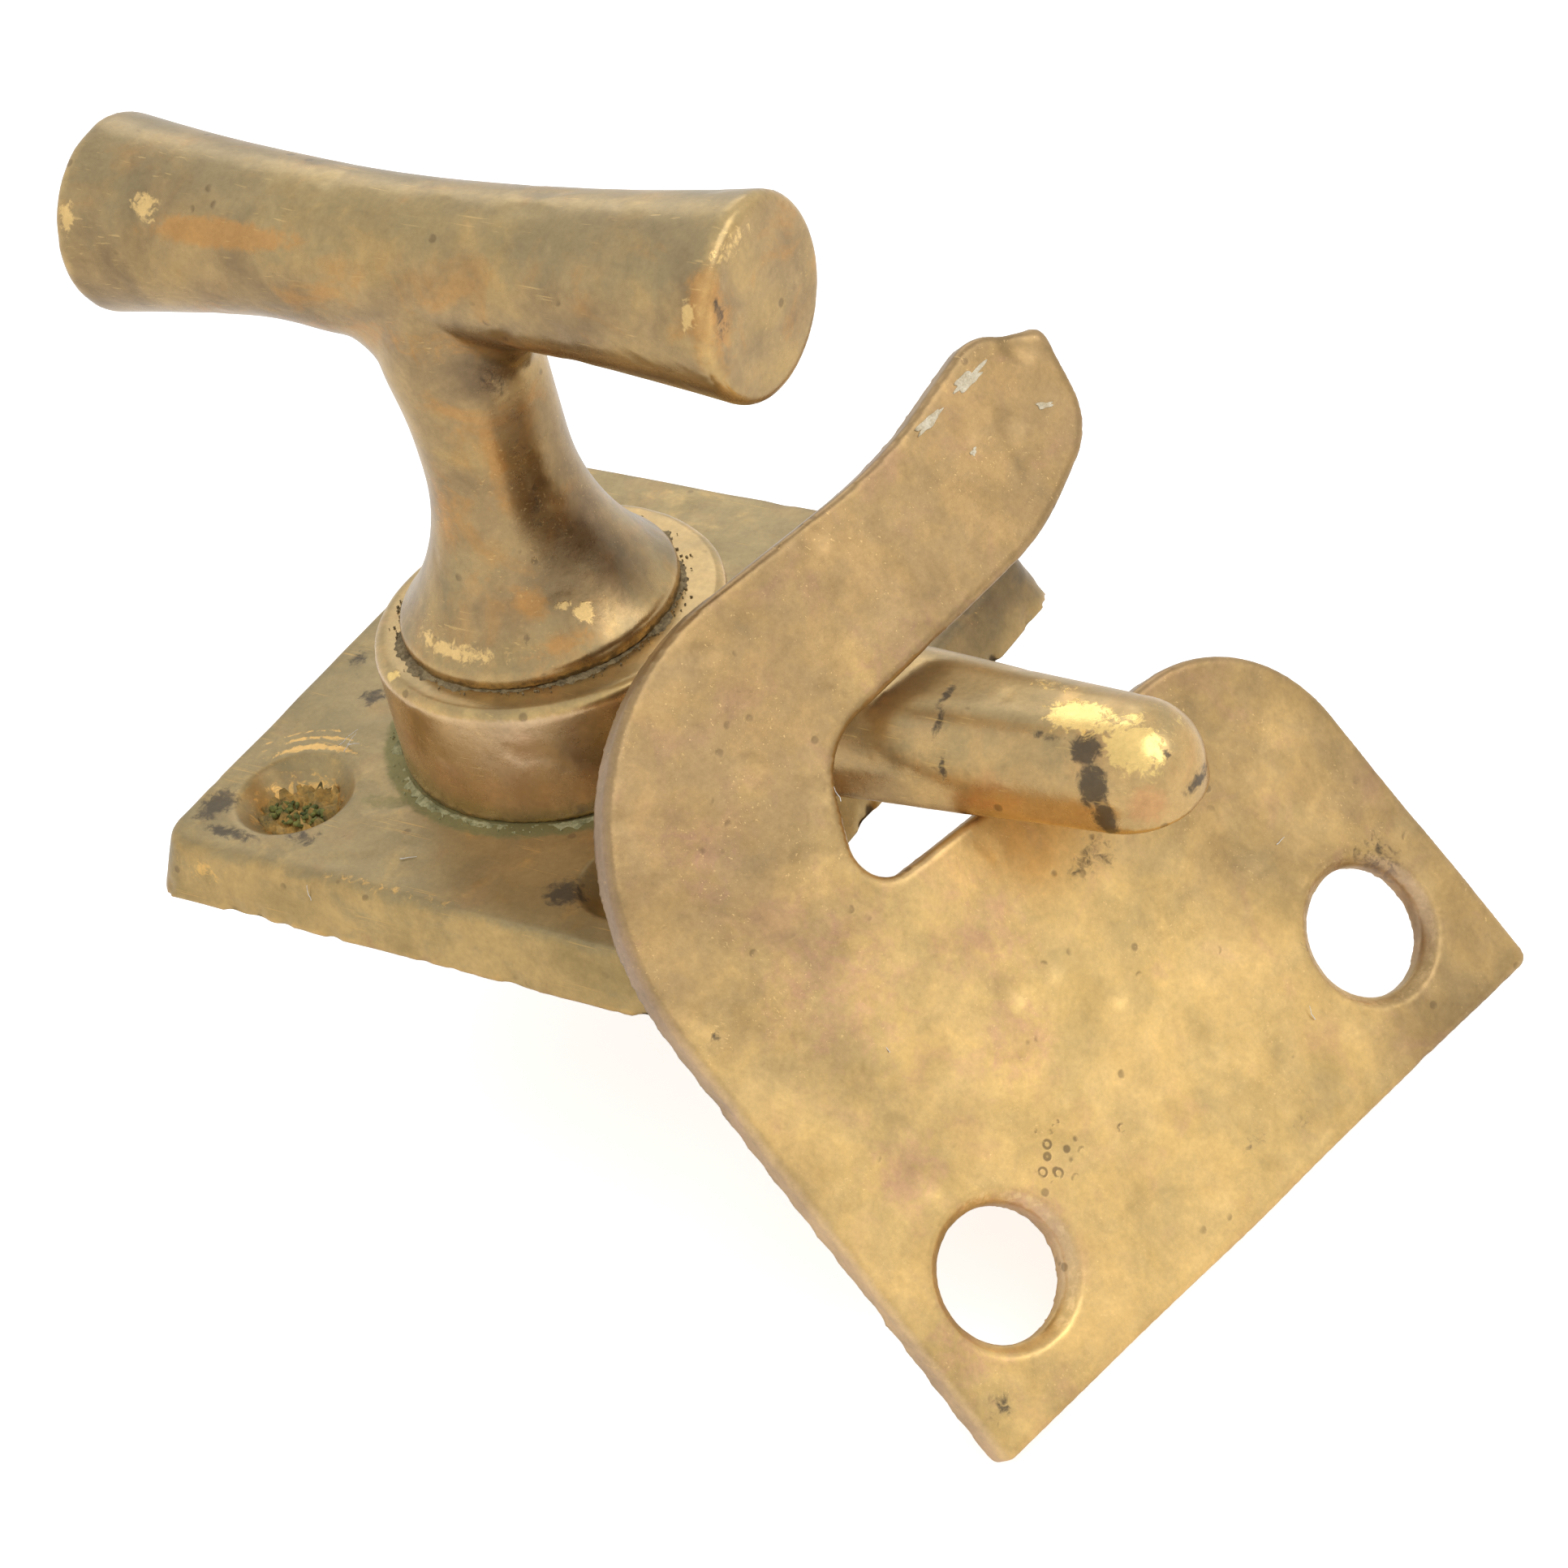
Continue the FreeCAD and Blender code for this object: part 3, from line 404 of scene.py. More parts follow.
    return f.close(colour, roughness, metal, height, 0.45, 0.08)


def crumbly(name, dark, light, scale=1.6, rough=0.85):
    """Dull granular dirt, verdigris or paint."""
    f = Finish(name)
    patch = f.noise(scale, 6.0, 0.7, 0.4)
    colour = f.ramp(patch, ((0.35, dark), (0.62, light)))
    grain = f.noise(scale * 6, 5.0, 0.7, 0.0, 2.0)
    colour = f.blend(1.0, colour, f.ramp(grain, ((0.3, (0.72, 0.72, 0.72)), (0.7, (1.15, 1.15, 1.15)))),
                     "MULTIPLY")
    roughness = f.sum("MULTIPLY_ADD", grain, 0.12, rough - 0.06)
    return f.close(colour, roughness, 0.0, grain, 0.6, 0.12)


base_brass = old_brass("base_brass", ((0.43, 0.305, 0.13), (0.54, 0.375, 0.16), (0.62, 0.425, 0.18)),
                       (0.32, 0.26, 0.14), 0.75, (0.46, 0.27, 0.13), 0.38, 1.0, (0.80, 0.50, 0.17))
handle_brass = old_brass("handle_brass", ((0.35, 0.245, 0.13), (0.48, 0.335, 0.165), (0.58, 0.40, 0.175)),
                         (0.35, 0.285, 0.155), 0.60, (0.60, 0.32, 0.11), 0.30, 21.0, (0.95, 0.66, 0.28))
tongue_brass = old_brass("tongue_brass", ((0.56, 0.385, 0.19), (0.67, 0.455, 0.205), (0.74, 0.49, 0.21)),
                         (0.36, 0.29, 0.15), 0.55, (0.72, 0.40, 0.18), 0.30, 41.0, (1.0, 0.72, 0.27))
keeper_brass = old_brass("keeper_brass", ((0.68, 0.465, 0.185), (0.80, 0.54, 0.21), (0.88, 0.59, 0.235)),
                         (0.58, 0.44, 0.22), 0.30, (0.72, 0.42, 0.24), 0.38, 61.0, (0.95, 0.66, 0.30))
spring_bronze = old_brass("spring_bronze", ((0.50, 0.32, 0.17), (0.58, 0.38, 0.20), (0.64, 0.42, 0.22)),
                          (0.30, 0.22, 0.15), 0.3, (0.60, 0.34, 0.20), 0.32, 81.0)
hidden_brass = old_brass("hidden_brass", ((0.40, 0.30, 0.15), (0.48, 0.36, 0.19), (0.55, 0.41, 0.21)),
                         (0.26, 0.22, 0.16), 0.5, (0.50, 0.32, 0.18), 0.42, 101.0)
dirt = crumbly("dirt", (0.13, 0.095, 0.045), (0.38, 0.29, 0.15))
verdigris = crumbly("verdigris", (0.17, 0.17, 0.065), (0.52, 0.49, 0.27), 0.8)
moss_green = crumbly("moss_green", (0.04, 0.065, 0.015), (0.26, 0.26, 0.06), 1.2)
hole_crust = crumbly("hole_crust", (0.09, 0.085, 0.02), (0.62, 0.36, 0.08), 0.55, 0.6)
old_paint = crumbly("old_paint", (0.58, 0.47, 0.29), (0.82, 0.73, 0.54), 1.3, 0.6)
lint = crumbly("lint", (0.75, 0.72, 0.66), (0.92, 0.90, 0.86), 1.0, 0.9)

for node, material in (("spring_washer", spring_bronze), ("retaining_washer", hidden_brass),
                       ("tail_screw", hidden_brass)):
    frame["nodes"][node].data.materials.clear()
    frame["nodes"][node].data.materials.append(material)


# ---------------------------------------------------------------- cast pieces

REST_TURN = math.radians(2.0)


def own_axes(points):
    """Row frame points in the handle's own directions, from the spindle's axis."""
    c, s = math.cos(REST_TURN), math.sin(REST_TURN)
    x, y = points[:, 0] - SPINDLE[0], points[:, 1] - SPINDLE[1]
    return np.stack((c * x + s * y, c * y - s * x, points[:, 2]), axis=1)


def bell(value, middle, width):
    return np.exp(-((value - middle) / width) ** 2)


plate_low, plate_high = (np.array(corner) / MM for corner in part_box("base_plate"))
HUB_RADIUS = 12.75
NECK_FOOT_RADIUS = 10.1
VOXEL = 0.30
FINE_VOXEL = 0.28
HUB_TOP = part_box("tongue")[1][2] / MM
PLATE_TOP = plate_high[2]
SCREW_X = mounts["base_screws"]["dims"]["spacing_x_mm"] / 2
SCREW_Y = mounts["base_screws"]["dims"]["spacing_y_mm"] / 2

# base plate
CHIP_DEPTH = 0.30
mesh = skin("base_plate", VOXEL)
smooth(mesh, rounds=4)
unevenness(mesh, seed=3, depth=0.05)
points, normals = points_of(mesh), normals_of(mesh)
outer = np.maximum(np.abs(points[:, 0]) / plate_high[0], np.abs(points[:, 1]) / plate_high[1])
low_rim = np.clip(1.4 - points[:, 2], 0, 1) * (outer > 0.9)
chips = np.clip(waves(points, 11, 1.5, 6.0) + 0.1, 0, None)
put_points(mesh, points - normals * (CHIP_DEPTH * low_rim * chips)[:, None])
hole = np.array([-SCREW_X, -SCREW_Y, PLATE_TOP])
paint(mesh, "dark", [
    ((-20.6, -19.5, PLATE_TOP), (1.8, 2.6, 1.5), 0.85),
    ((-16.5, -5.1, PLATE_TOP), 1.5, 0.72),
    ((-17.5, -21.9, PLATE_TOP), (3.6, 1.0, 1.0), 0.7),
    ((-20.5, -1.5, PLATE_TOP), 1.3, 0.6),
    ((11.3, -19.8, PLATE_TOP), (2.6, 2.0, 1.0), 0.8),
    ((-12, -20.5, PLATE_TOP), (2.2, 1.5, 1), 0.6),
])
paint(mesh, "bright", [
    (hole - (0, 0, 1.6), (4.7, 4.7, 1.6), 0.85),
    # Painted highlight along the plate's front top edge.
    ((-2, -23.4, PLATE_TOP - 0.4), (15, 0.7, 0.7), 0.6),
    ((-18.5, -24.6, 3.2), (3.0, 0.8, 1.6), 0.5),
])
paint(mesh, "green", [
    ((-8.4, -15.2, PLATE_TOP), (4.0, 1.6, 1.0), 0.5),
    (hole * (-1, 1, 1) - (0, 0, 2.0), 3, 0.6),
])
from_hole = points - hole
hole_radius = np.hypot(from_hole[:, 0], from_hole[:, 1])
hole_side = np.degrees(np.arctan2(from_hole[:, 1], from_hole[:, 0]))
scored = (bell(hole_radius, 5.4, 0.45) + 0.9 * bell(hole_radius, 6.5, 0.22)
          + 0.8 * bell(hole_radius, 7.3, 0.15))
paint_field(mesh, "bright", 0.95 * scored * bell(hole_side, 110, 42) * (points[:, 2] > PLATE_TOP - 1))
radius = np.hypot(points[:, 0] - SPINDLE[0], points[:, 1] - SPINDLE[1])
top_face = points[:, 2] > PLATE_TOP - 0.5
paint_field(mesh, "green", 0.95 * bell(radius, HUB_RADIUS + 0.6, 1.1) * top_face)
# Painted shade on the plate's right corner.
paint(mesh, "shade", [((20, 21, PLATE_TOP), (16, 12, 6), 1.0)])
store_bend(mesh)
base_piece = link("base_casting", mesh, "base", base_brass)
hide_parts("base_plate")

# tongue and hub
mesh = skin("tongue", FINE_VOXEL)
points = points_of(mesh)
own = own_axes(points)
lean = 0.6 * np.clip((own[:, 2] - PLATE_TOP) / 10, 0, 1) * (np.hypot(own[:, 0], own[:, 1]) < 15)
bulge = 0.5 + 1.0 * np.clip(own[:, 0] / HUB_RADIUS, 0, 1)
points[:, 0] += bulge * lean * np.clip((18 - own[:, 0]) / 4, 0, 1)
put_points(mesh, points)
smooth(mesh, rounds=4)
unevenness(mesh, seed=5, depth=0.04)
paint(mesh, "bright", [
    ((43.8, -1.5, 13.6), (3.4, 2.0, 1.4), 0.95),
    ((48.3, -2.6, 12.8), (2.8, 2.0, 2.8), 1.05),
    ((47.2, -1.2, 13.2), (3.0, 1.5, 1.5), 0.72),
    ((-6.0, -12.6, HUB_TOP), (0.9, 0.6, 0.8), 0.9),
    ((49.6, 1.4, 12.0), (1.2, 1.2, 1.2), 0.6),
    ((40.0, 1.0, 13.7), (2.6, 1.2, 1.0), 0.55),
])
paint(mesh, "dark", [
    ((45.3, -3.8, 12.9), (1.5, 1.3, 1.2), 1.0),
    ((46.3, -5.1, 11.0), (1.3, 1.5, 2.2), 1.1),
    ((47.1, -5.7, 8.6), (1.1, 1.2, 2.0), 1.05),
    ((51.7, -0.6, 9.2), (0.9, 3.0, 0.9), 0.75),
    ((33.8, -2.1, 13.7), (0.5, 1.9, 0.8), 0.75),
    ((34.4, -4.6, 12.9), (0.45, 1.8, 1.4), 0.75),
    ((35.4, -6.3, 11.0), (0.4, 0.9, 1.8), 0.7),
    ((42.2, -3.6, 13.2), (1.6, 0.5, 0.5), 0.55),
    ((50.2, -1.8, 12.0), (0.5, 0.5, 0.7), 0.8),
    ((7.9, -12.2, 5.4), (1.0, 1.0, 0.7), 0.8),
])
paint(mesh, "copper", [
    ((49.8, -4.3, 9.6), (1.6, 1.9, 1.8), 0.95),
    ((37.4, -6.5, 8.6), (4.0, 1.2, 1.1), 0.6),
    ((2.7, -14.7, 7.5), (9, 4, 2.4), 0.62),
    ((-8.5, -10.0, 12.5), (3, 3, 2), 0.5),
])
points = points_of(mesh)
own = own_axes(points)
paint_field(mesh, "dark", 0.62 * bell(own[:, 2], PLATE_TOP + 0.2, 0.5) * (own[:, 0] < 14))
# Painted sheen on the hub's side, below its top.
outside = np.hypot(own[:, 0], own[:, 1]) > HUB_RADIUS - 0.6
hub_side = outside * (own[:, 0] < 12) * (own[:, 2] < HUB_TOP - 0.6)
paint_field(mesh, "pale", hub_side * np.clip(0.75 + 0.35 * waves(points, 45, 4, 14), 0, 1))
store_bend(mesh)
tongue_piece = link("tongue_casting", mesh, "handle", tongue_brass)
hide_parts("tongue")

# handle
JUNCTION_FILL = 1.9
BAR_LIFT = 0.40
BAR_REACH = 27.6
mesh = skin("t_handle", VOXEL)
points, normals = points_of(mesh), normals_of(mesh)
own = own_axes(points)
facing = np.clip(-(normals[:, 0] + normals[:, 2]) * 0.7071, 0, 1)
arm = bell(own[:, 0], -7.4, 4.2) * bell(own[:, 2], 36.6, 3.8)
points = points + normals * (JUNCTION_FILL * arm * facing ** 0.7 * (own[:, 2] > 18))[:, None]
points[:, 2] += BAR_LIFT * np.clip(-own[:, 0] / BAR_REACH, 0, 1) * (own[:, 2] > 30)
put_points(mesh, points)
smooth(mesh, rounds=12, weight=0.6)
unevenness(mesh, seed=7, depth=0.045, shortest=9.0, longest=24.0)
paint(mesh, "bright", [
    ((-26.4, -9.0, 47.5), (1.0, 1.2, 1.5), 0.8),
    ((-20.2, -7.4, 48.2), (1.5, 1.3, 1.3), 0.85),
    ((24.9, -7.8, 46.6), (0.9, 1.0, 1.5), 0.85),
    # Painted highlights on the neck's foot.
    ((7.4, -6.1, 18.1), (1.1, 1.1, 1.0), 0.85),
    ((6.3, -6.7, 19.0), (1.7, 1.0, 0.45), 0.72),
    ((-0.7, -11.0, 16.9), (6.5, 2.0, 0.9), 0.62),
    ((26.0, -3.5, 49.3), (0.7, 3.5, 1.2), 0.55),
])
paint(mesh, "copper", [
    ((-14.2, -7.6, 47.1), (8.0, 1.7, 1.2), 1.1),
    ((25.7, -6.9, 46.2), (1.3, 2.4, 5.0), 1.0),
    ((3.4, -6.2, 30.0), (0.9, 1.5, 5.0), 0.8),
    ((4.4, -7.9, 19.6), (2.0, 1.2, 1.6), 0.95),
    # Painted shade, in copper brown, along the bar's underside.
    ((0, -5.5, 40.2), (27, 4, 2.4), 0.55),
    ((-1.5, -6.5, 26), (2.6, 3.0, 6.0), 0.6),
    ((6.5, -8.0, 16.9), (4, 3, 1.0), 0.7),
])
# Painted shade on the neck's right side and in its corner under the bar.
paint(mesh, "shade", [
    ((7.3, -1.4, 26.0), (2.9, 3.8, 12.0), 1.0),
    ((3.5, -5.0, 37.0), (3.0, 3.0, 2.5), 0.9),
])
paint(mesh, "dark", [
    ((4.9, -5.0, 27.0), (0.7, 1.0, 7.0), 0.50),
    # Painted shade in the neck's corner under the bar; the other dark spots here are stains and a crack.
    ((4.4, -5.2, 36.0), (1.6, 2.0, 2.0), 0.45),
    ((26.2, -6.4, 46.0), (0.6, 1.0, 2.5), 0.6),
    ((4.7, -9.6, 17.6), (0.3, 0.8, 1.4), 0.6),
])
points = points_of(mesh)
own = own_axes(points)
joint_line = 0.75 * bell(own[:, 2], HUB_TOP + 0.15, 0.55)
paint_field(mesh, "dark", joint_line * (np.hypot(own[:, 0], own[:, 1]) > 8))
store_bend(mesh)
handle_piece = link("handle_casting", mesh, "handle", handle_brass)
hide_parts("t_handle")

# keeper
BURR_HEIGHT = 0.45
mesh = skin("hook_keeper", FINE_VOXEL)
smooth(mesh, rounds=3)
unevenness(mesh, seed=9, depth=0.05, shortest=7.0, longest=24.0)
points, normals = points_of(mesh), normals_of(mesh)
burr = np.exp(-(np.linalg.norm(points - keeper_point(46.6, 47.2, -0.8), axis=1) / 1.0) ** 2)
put_points(mesh, points + normals * (BURR_HEIGHT * burr)[:, None])
local = points - NEAR_HOLE
along, up = local @ ALONG, local @ UP
hole_near = np.hypot(along, up)
far = (FAR_HOLE - NEAR_HOLE) @ ALONG
hole_far = np.hypot(along - far, up)
paint(mesh, "copper", [
    (keeper_point(10.7, 11.0), (6, 6, 4), 0.5),
    (keeper_point(-1.4, 9.4), (5, 5, 3), 0.55),
    (keeper_point(0.9, 34.8), (4, 4, 12), 0.5),
    (keeper_point(3.5, 1.5), 4.0, 0.62),
    (keeper_point(-6, -2), (4, 4, 8), 0.5),
    (keeper_point(3, 22), (8, 8, 12), 0.5),
    (keeper_point(14, 18), (6, 6, 6), 0.48),
    (keeper_point(22, 33), (8, 8, 10), 0.48),
])
paint(mesh, "dark", [
    (keeper_point(24.1, 17.0), (3.2, 3.2, 1.6), 0.5),
    (keeper_point(42.3, 2.9), (2.5, 3, 4), 0.52),
    (keeper_point(33.5, 2.2), (1.2, 1.2, 1.8), 0.45),
    (keeper_point(-6.3, -6.2), (1.6, 1.6, 1.2), 0.5),
    (keeper_point(20.6, -5.3), (1.6, 1.6, 1.0), 0.42),
    (keeper_point(24.8, -6.5), 1.2, 0.42),
    (keeper_point(-6.1, 24.6), 0.7, 0.6),
])
# Painted shade: the keeper gets darker towards its near end, up towards the arm's tip and towards its far
# end, with a slow wave.
keeper_shade = 0.30 * np.clip(1 - (along + 2) / 20, 0, 1) + 0.28 * np.clip((up - 4) / 20, 0, 1)
keeper_shade += 0.66 * np.clip((up - 22) / 20, 0, 1) + 0.62 * np.clip((along - 22) / 14, 0, 1)
# Painted sheen on the keeper's side rim at its near end.
paint_field(mesh, "pale", np.clip(-2 * (normals @ ALONG) - 0.6, 0, 1))
paint_field(mesh, "shade", keeper_shade + 0.10 * waves(points, 71, 9, 30))
paint_field(mesh, "bright", 0.5 * bell(np.minimum(hole_near, hole_far), 5.2, 0.5) * (along > 0))
paint(mesh, "specks", [
    (keeper_point(8.6, 3.6), (2.6, 3.2, 2.2), 0.9),
    (keeper_point(13.3, 2.4), 1.6, 0.7),
])
store_bend(mesh)
keeper_piece = link("keeper_plate", mesh, "keeper", keeper_brass)
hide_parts("hook_keeper")


# ---------------------------------------------------------------- dirt, verdigris, paint and lint

def crumbs(name, places, sizes, body, material, seed):
    """A heap of small rough lumps in one mesh. Places and sizes are in millimetres."""
    rng = random.Random(seed)
    work = bmesh.new()
    for place, size in zip(places, sizes):
        angle = rng.uniform(0, math.pi)
        turn = Matrix.Rotation(angle, 4, Vector((rng.uniform(-1, 1), rng.uniform(-1, 1), 1)))
        stretch = Matrix.Diagonal((rng.uniform(0.7, 1.3), rng.uniform(0.7, 1.3), rng.uniform(0.5, 1.0), 1))
        matrix = Matrix.Translation(Vector(place) * MM) @ turn @ stretch
        lump = bmesh.ops.create_icosphere(work, subdivisions=2, radius=size * MM / 2, matrix=matrix)
        for vertex in lump["verts"]:
            offset = noise.noise(vertex.co * 2600.0 + Vector((seed, 0, 0))) * size * MM * 0.22
            vertex.co += (vertex.co - Vector(place) * MM).normalized() * offset
    mesh = bpy.data.meshes.new(name)
    work.to_mesh(mesh)
    work.free()
    return link(name, mesh, body, material)


def crust_ring(name, radius, floor, width, height, body, material, seed):
    """A lumpy ring of dirt lying round an upright joint."""
    around, across = 420, 9
    work = bmesh.new()
    rows = []
    for index in range(around):
        angle = 2 * math.pi * index / around
        spot = Vector((math.cos(angle) * radius, math.sin(angle) * radius, seed))
        thick = 0.65 + 0.9 * noise.noise(spot * 0.5) + 0.5 * noise.noise(spot * 2.0)
        thick = max(0.12, thick)
        row = []
        for step in range(across):
            share = step / (across - 1)
            out = radius + width * thick * share
            rise = height * thick * math.sin(math.pi * (0.5 + 0.5 * share)) ** 0.8 if share < 1 else 0.0
            rise *= 1 + 0.5 * noise.noise(Vector((spot.x * 3, spot.y * 3, share * 4)))
            row.append(work.verts.new(Vector((SPINDLE[0] + math.cos(angle) * out,
                                              SPINDLE[1] + math.sin(angle) * out,
                                              floor + rise)) * MM))
        row.append(work.verts.new(Vector((SPINDLE[0] + math.cos(angle) * radius,
                                          SPINDLE[1] + math.sin(angle) * radius, floor)) * MM))
        rows.append(row)
    for index, row in enumerate(rows):
        following = rows[(index + 1) % around]
        size = len(row)
        for step in range(size):
            beside = (step + 1) % size
            work.faces.new((row[step], following[step], following[beside], row[beside]))
    bmesh.ops.recalc_face_normals(work, faces=work.faces)
    mesh = bpy.data.meshes.new(name)
    work.to_mesh(mesh)
    work.free()
    return link(name, mesh, body, material)


crust_ring("verdigris_ring", HUB_RADIUS + 0.12, floor=PLATE_TOP - 0.05, width=0.95, height=0.15,
           body="base", material=verdigris, seed=31)
crust_ring("neck_grime", NECK_FOOT_RADIUS, floor=HUB_TOP - 0.03, width=0.7, height=0.26,
           body="handle", material=dirt, seed=37)

rng = random.Random(12)
places, sizes = [], []
for _ in range(240):
    angle, out = rng.uniform(0, 2 * math.pi), NECK_FOOT_RADIUS + 0.25 + abs(rng.gauss(0, 0.35))
    places.append((SPINDLE[0] + math.cos(angle) * out, SPINDLE[1] + math.sin(angle) * out, HUB_TOP + 0.08))
    sizes.append(rng.uniform(0.08, 0.22))
crumbs("neck_grains", places, sizes, "handle", dirt, seed=5)

places, sizes = [], []
for _ in range(150):
    angle, out = rng.uniform(0, 2 * math.pi), HUB_RADIUS + 0.35 + abs(rng.gauss(0, 0.4))
    places.append((SPINDLE[0] + math.cos(angle) * out, SPINDLE[1] + math.sin(angle) * out, PLATE_TOP + 0.05))
    sizes.append(rng.uniform(0.08, 0.20))
crumbs("plate_grains", places, sizes, "base", verdigris, seed=6)

HOLE_RADIUS = mounts["base_screws"]["dims"]["hole_r_mm"]
CRUMBS_PER_HOLE = 70
places, sizes = [], []
for side_x in (-1, 1):
    for _ in range(CRUMBS_PER_HOLE):
        angle, out = rng.uniform(0, 2 * math.pi), HOLE_RADIUS * math.sqrt(rng.uniform(0, 0.9))
        places.append((side_x * SCREW_X + math.cos(angle) * out,
                       -SCREW_Y - 0.5 + 0.5 * math.sin(angle) * out, PLATE_TOP - 1.55))
        sizes.append(rng.uniform(0.2, 0.65))
crumbs("hole_verdigris", places, sizes, "base", moss_green, seed=7)


def lumpy_disc(name, place, length, width, lift, bumps, ragged, seed, body, material):
    """A thin lumpy disc. place turns (across, along, height) into a point in millimetres."""
    rings_out, around = 8, 48
    work = bmesh.new()
    rows = []
    for ring in range(rings_out + 1):
        row = []
        for index in range(around):
            angle = 2 * math.pi * index / around
            edge = 1 + ragged * noise.noise(Vector((math.cos(angle) * 1.6, math.sin(angle) * 1.6, seed)))
            share = min(ring, rings_out - 1) / (rings_out - 1)
            x, y = length * share * edge * math.cos(angle), width * share * edge * math.sin(angle)
            height = lift + bumps * noise.noise(Vector((x * 2, y * 2, seed)))
            if ring == rings_out:
                height = -lift
            row.append(work.verts.new(Vector(place(x, y, height)) * MM))
        rows.append(row)
    for ring in range(rings_out):
        for index in range(around):
            beside = (index + 1) % around
            inner, outer = rows[ring], rows[ring + 1]
            work.faces.new((inner[index], outer[index], outer[beside], inner[beside]))
    work.faces.new(rows[-1])
    bmesh.ops.remove_doubles(work, verts=work.verts, dist=1e-6)
    bmesh.ops.recalc_face_normals(work, faces=work.faces)
    mesh = bpy.data.meshes.new(name)
    work.to_mesh(mesh)
    work.free()
    return link(name, mesh, body, material)


def flake(name, along, up, length, width, turn, seed):
    """A thin ragged chip of old paint lying on the keeper's face."""
    c, s = math.cos(turn), math.sin(turn)
    lumpy_disc(name, lambda x, y, z: keeper_point(along + c * x - s * y, up + s * x + c * y, z),
               length, width, lift=0.08, bumps=0.05, ragged=0.9, seed=seed, body="keeper",
               material=old_paint)


for number, side in ((1, -1), (2, 1)):
    lumpy_disc("hole_crust_%d" % number,
               lambda x, y, z: (side * SCREW_X + x, y - SCREW_Y, PLATE_TOP - 2.0 + z),
               length=HOLE_RADIUS + 0.5, width=HOLE_RADIUS + 0.5, lift=0.3, bumps=1.2, ragged=0.0,
               seed=3.0 + number, body="base", material=hole_crust)

flake("paint_chip_1", along=39.5, up=47.7, length=1.5, width=0.40, turn=0.05, seed=2.0)
flake("paint_chip_2", along=34.7, up=47.1, length=1.5, width=0.30, turn=0.1, seed=5.0)
flake("paint_chip_3", along=43.1, up=43.0, length=0.8, width=0.20, turn=-0.45, seed=8.0)
flake("paint_chip_4", along=36.2, up=43.6, length=0.30, width=0.22, turn=0.2, seed=11.0)


def fibres(name, strands, body):
    """Loose lint: thin curled threads in one mesh. A strand is (start, direction, length, seed)."""
    work = bmesh.new()
    around, steps, thick = 5, 14, 0.035
    for start, direction, length, seed in strands:
        place, heading = Vector(start), Vector(direction).normalized()
        rows = []
        for step in range(steps):
            bend = Vector((noise.noise(Vector((seed, step * 0.35, 0))),
                           noise.noise(Vector((seed, step * 0.35, 9))),
                           0.4 * noise.noise(Vector((seed, step * 0.35, 17)))))
            heading = (heading + bend * 0.5).normalized()
            place = place + heading * length / steps
            side = heading.orthogonal().normalized()
            other = heading.cross(side)
            size = thick * (1 - 0.6 * step / steps)
            rows.append([work.verts.new((place + (side * math.cos(a) + other * math.sin(a)) * size) * MM)
                         for a in [2 * math.pi * index / around for index in range(around)]])
        for row, following in zip(rows, rows[1:]):
            for index in range(around):
                beside = (index + 1) % around
                work.faces.new((row[index], row[beside], following[beside], following[index]))
        work.faces.new(reversed(rows[0]))
        work.faces.new(rows[-1])
    bmesh.ops.recalc_face_normals(work, faces=work.faces)
    mesh = bpy.data.meshes.new(name)
    work.to_mesh(mesh)
    work.free()
    return link(name, mesh, body, lint)


front = plate_low[1] + 0.75
fibres("base_lint", [
    ((-8.6, front, 2.4), (0.2, 0.1, 1), 1.7, 1),
    ((-8.4, front, 2.6), (0.8, 0.1, -0.6), 1.3, 2),
    ((-8.8, front, 2.5), (-0.7, 0, -0.8), 1.2, 3),
    ((-3, -20.5, PLATE_TOP + 0.06), (1, 0.4, 0), 1.3, 4),
    ((-15.5, -11.2, PLATE_TOP + 0.1), (0.5, 0.7, 0.4), 2.2, 5),
    ((-15.0, -10.6, PLATE_TOP + 0.1), (0.9, -0.4, 0.3), 2.0, 6),
    ((-14.6, -11.6, PLATE_TOP + 0.1), (0.1, 0.9, 0.5), 1.8, 7),
], "base")
fibres("keeper_lint", [
    (keeper_point(30.5, -2.0, 0.06), tuple(UP), 1.2, 11),
    (keeper_point(3.0, 16.2, 0.06), tuple(UP), 0.9, 12),
    (keeper_point(36.5, 9.0, 0.06), tuple(ALONG), 0.9, 13),
    (keeper_point(11.5, 31.0, 0.06), tuple(UP), 1.2, 14),
    (keeper_point(31.0, 17.2, 0.06), tuple(UP), 1.1, 15),
], "keeper")


# ---------------------------------------------------------------- studio

def floor():
    """A wide pale sheet just under the latch."""
    work = bmesh.new()
    bmesh.ops.create_grid(work, x_segments=8, y_segments=8, size=FLOOR_SIZE)
    mesh = bpy.data.meshes.new("floor")
    work.to_mesh(mesh)
    work.free()
    sheet = bpy.data.objects.new("floor", mesh)
    bpy.context.scene.collection.objects.link(sheet)
    sheet.location.z = cad_low[2] - FLOOR_GAP
    f = Finish("pale_paper")
    tone = f.ramp(f.noise(0.02, 3.0), ((0.3, (0.93, 0.93, 0.93)), (0.7, (0.95, 0.95, 0.95))))
    material = f.close(tone, 0.9, 0.0, f.noise(1.5, 2.0), 0.05)
    surface = [node for node in f.tree.nodes if node.type == "BSDF_PRINCIPLED"][0]
    surface.inputs["Emission Color"].default_value = (1, 1, 1, 1)
    path = f.tree.nodes.new("ShaderNodeLightPath")
    f.set_input(surface.inputs["Emission Strength"], f.sum("MULTIPLY", path.outputs["Is Camera Ray"], 0.55))
    mesh.materials.append(material)


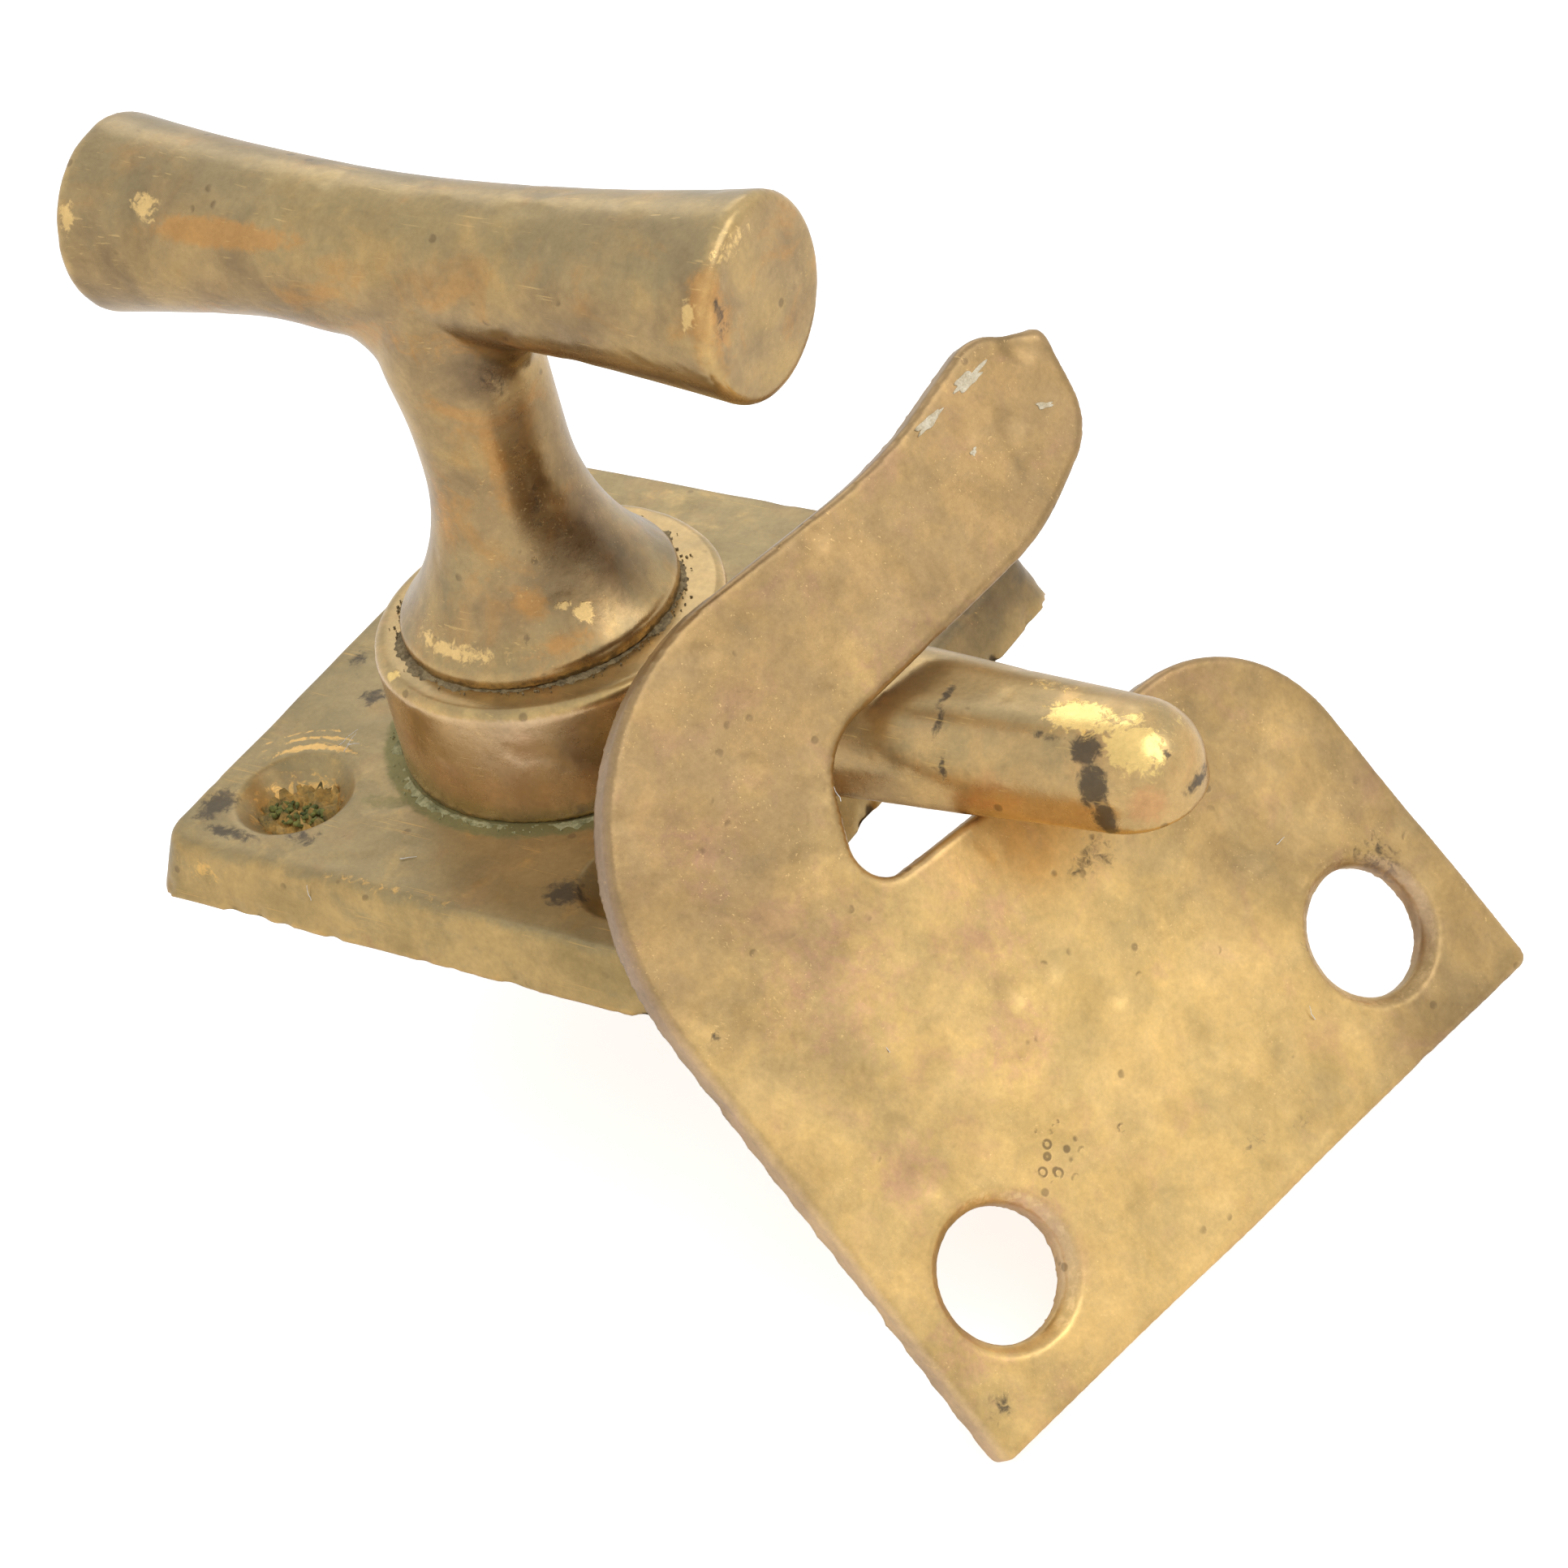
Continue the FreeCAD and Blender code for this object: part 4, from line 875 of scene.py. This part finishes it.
def area_light(name, place, aim, size, power):
    data = bpy.data.lights.new(name, "AREA")
    data.shape = "DISK"
    data.size = size
    data.energy = power
    lamp = bpy.data.objects.new(name, data)
    bpy.context.scene.collection.objects.link(lamp)
    lamp.location = place
    lamp.rotation_euler = (Vector(aim) - Vector(place)).to_track_quat("-Z", "Y").to_euler()


def studio_world():
    """Soft white surroundings: a little brighter on three sides, darker low on the right."""
    world = bpy.data.worlds.new("studio")
    bpy.context.scene.world = world
    world.use_nodes = True
    nodes, links = world.node_tree.nodes, world.node_tree.links
    coordinates = nodes.new("ShaderNodeTexCoord")
    total = None
    for direction, power, strength in (((0.83, 0.26, 0.49), 3.0, 0.10), ((-0.45, 0.65, 0.6), 4.0, 0.06),
                                       ((0.2, -0.9, 0.3), 3.0, 0.06), ((0.6, -0.1, -0.5), 3.0, -0.25)):
        dot = nodes.new("ShaderNodeVectorMath")
        dot.operation = "DOT_PRODUCT"
        links.new(coordinates.outputs["Generated"], dot.inputs[0])
        dot.inputs[1].default_value = Vector(direction).normalized()
        parts = [("MAXIMUM", 0.0), ("POWER", power), ("MULTIPLY", strength)]
        value = dot.outputs["Value"]
        for operation, number in parts:
            node = nodes.new("ShaderNodeMath")
            node.operation = operation
            links.new(value, node.inputs[0])
            node.inputs[1].default_value = number
            value = node.outputs[0]
        add = nodes.new("ShaderNodeMath")
        add.operation = "ADD"
        links.new(value, add.inputs[0])
        if total is None:
            add.inputs[1].default_value = 0.87
        else:
            links.new(total, add.inputs[1])
        total = add.outputs[0]
    path = nodes.new("ShaderNodeLightPath")
    choose = nodes.new("ShaderNodeMix")
    links.new(path.outputs["Is Camera Ray"], choose.inputs[0])
    links.new(total, choose.inputs[2])
    choose.inputs[3].default_value = 1.0
    links.new(choose.outputs[0], nodes["Background"].inputs["Strength"])
    nodes["Background"].inputs["Color"].default_value = (1.0, 1.0, 1.0, 1.0)


def camera():
    data = bpy.data.cameras.new("camera")
    cam = bpy.data.objects.new("camera", data)
    bpy.context.scene.collection.objects.link(cam)
    data.lens, data.sensor_width = CAMERA_LENS, CAMERA_SENSOR
    turn, rise = math.radians(CAMERA_AZIMUTH), math.radians(CAMERA_ELEVATION)
    back = Vector((math.sin(turn) * math.cos(rise), -math.cos(turn) * math.cos(rise), math.sin(rise)))
    aim = back.to_track_quat("Z", "Y").to_matrix() @ Matrix.Rotation(math.radians(CAMERA_ROLL), 3, "Z")
    cam.matrix_world = Matrix.Translation(CAMERA_TARGET + back * CAMERA_DISTANCE) @ aim.to_4x4()
    bpy.context.scene.camera = cam


floor()
studio_world()
camera()
area_light("key", (0.30, 0.10, 0.34), aim=(0.02, 0, 0.0), size=0.30, power=0.34)
area_light("back", (-0.22, 0.34, 0.30), aim=(0.0, 0, 0.02), size=0.26, power=0.16)
bpy.context.scene.view_settings.view_transform = "Standard"
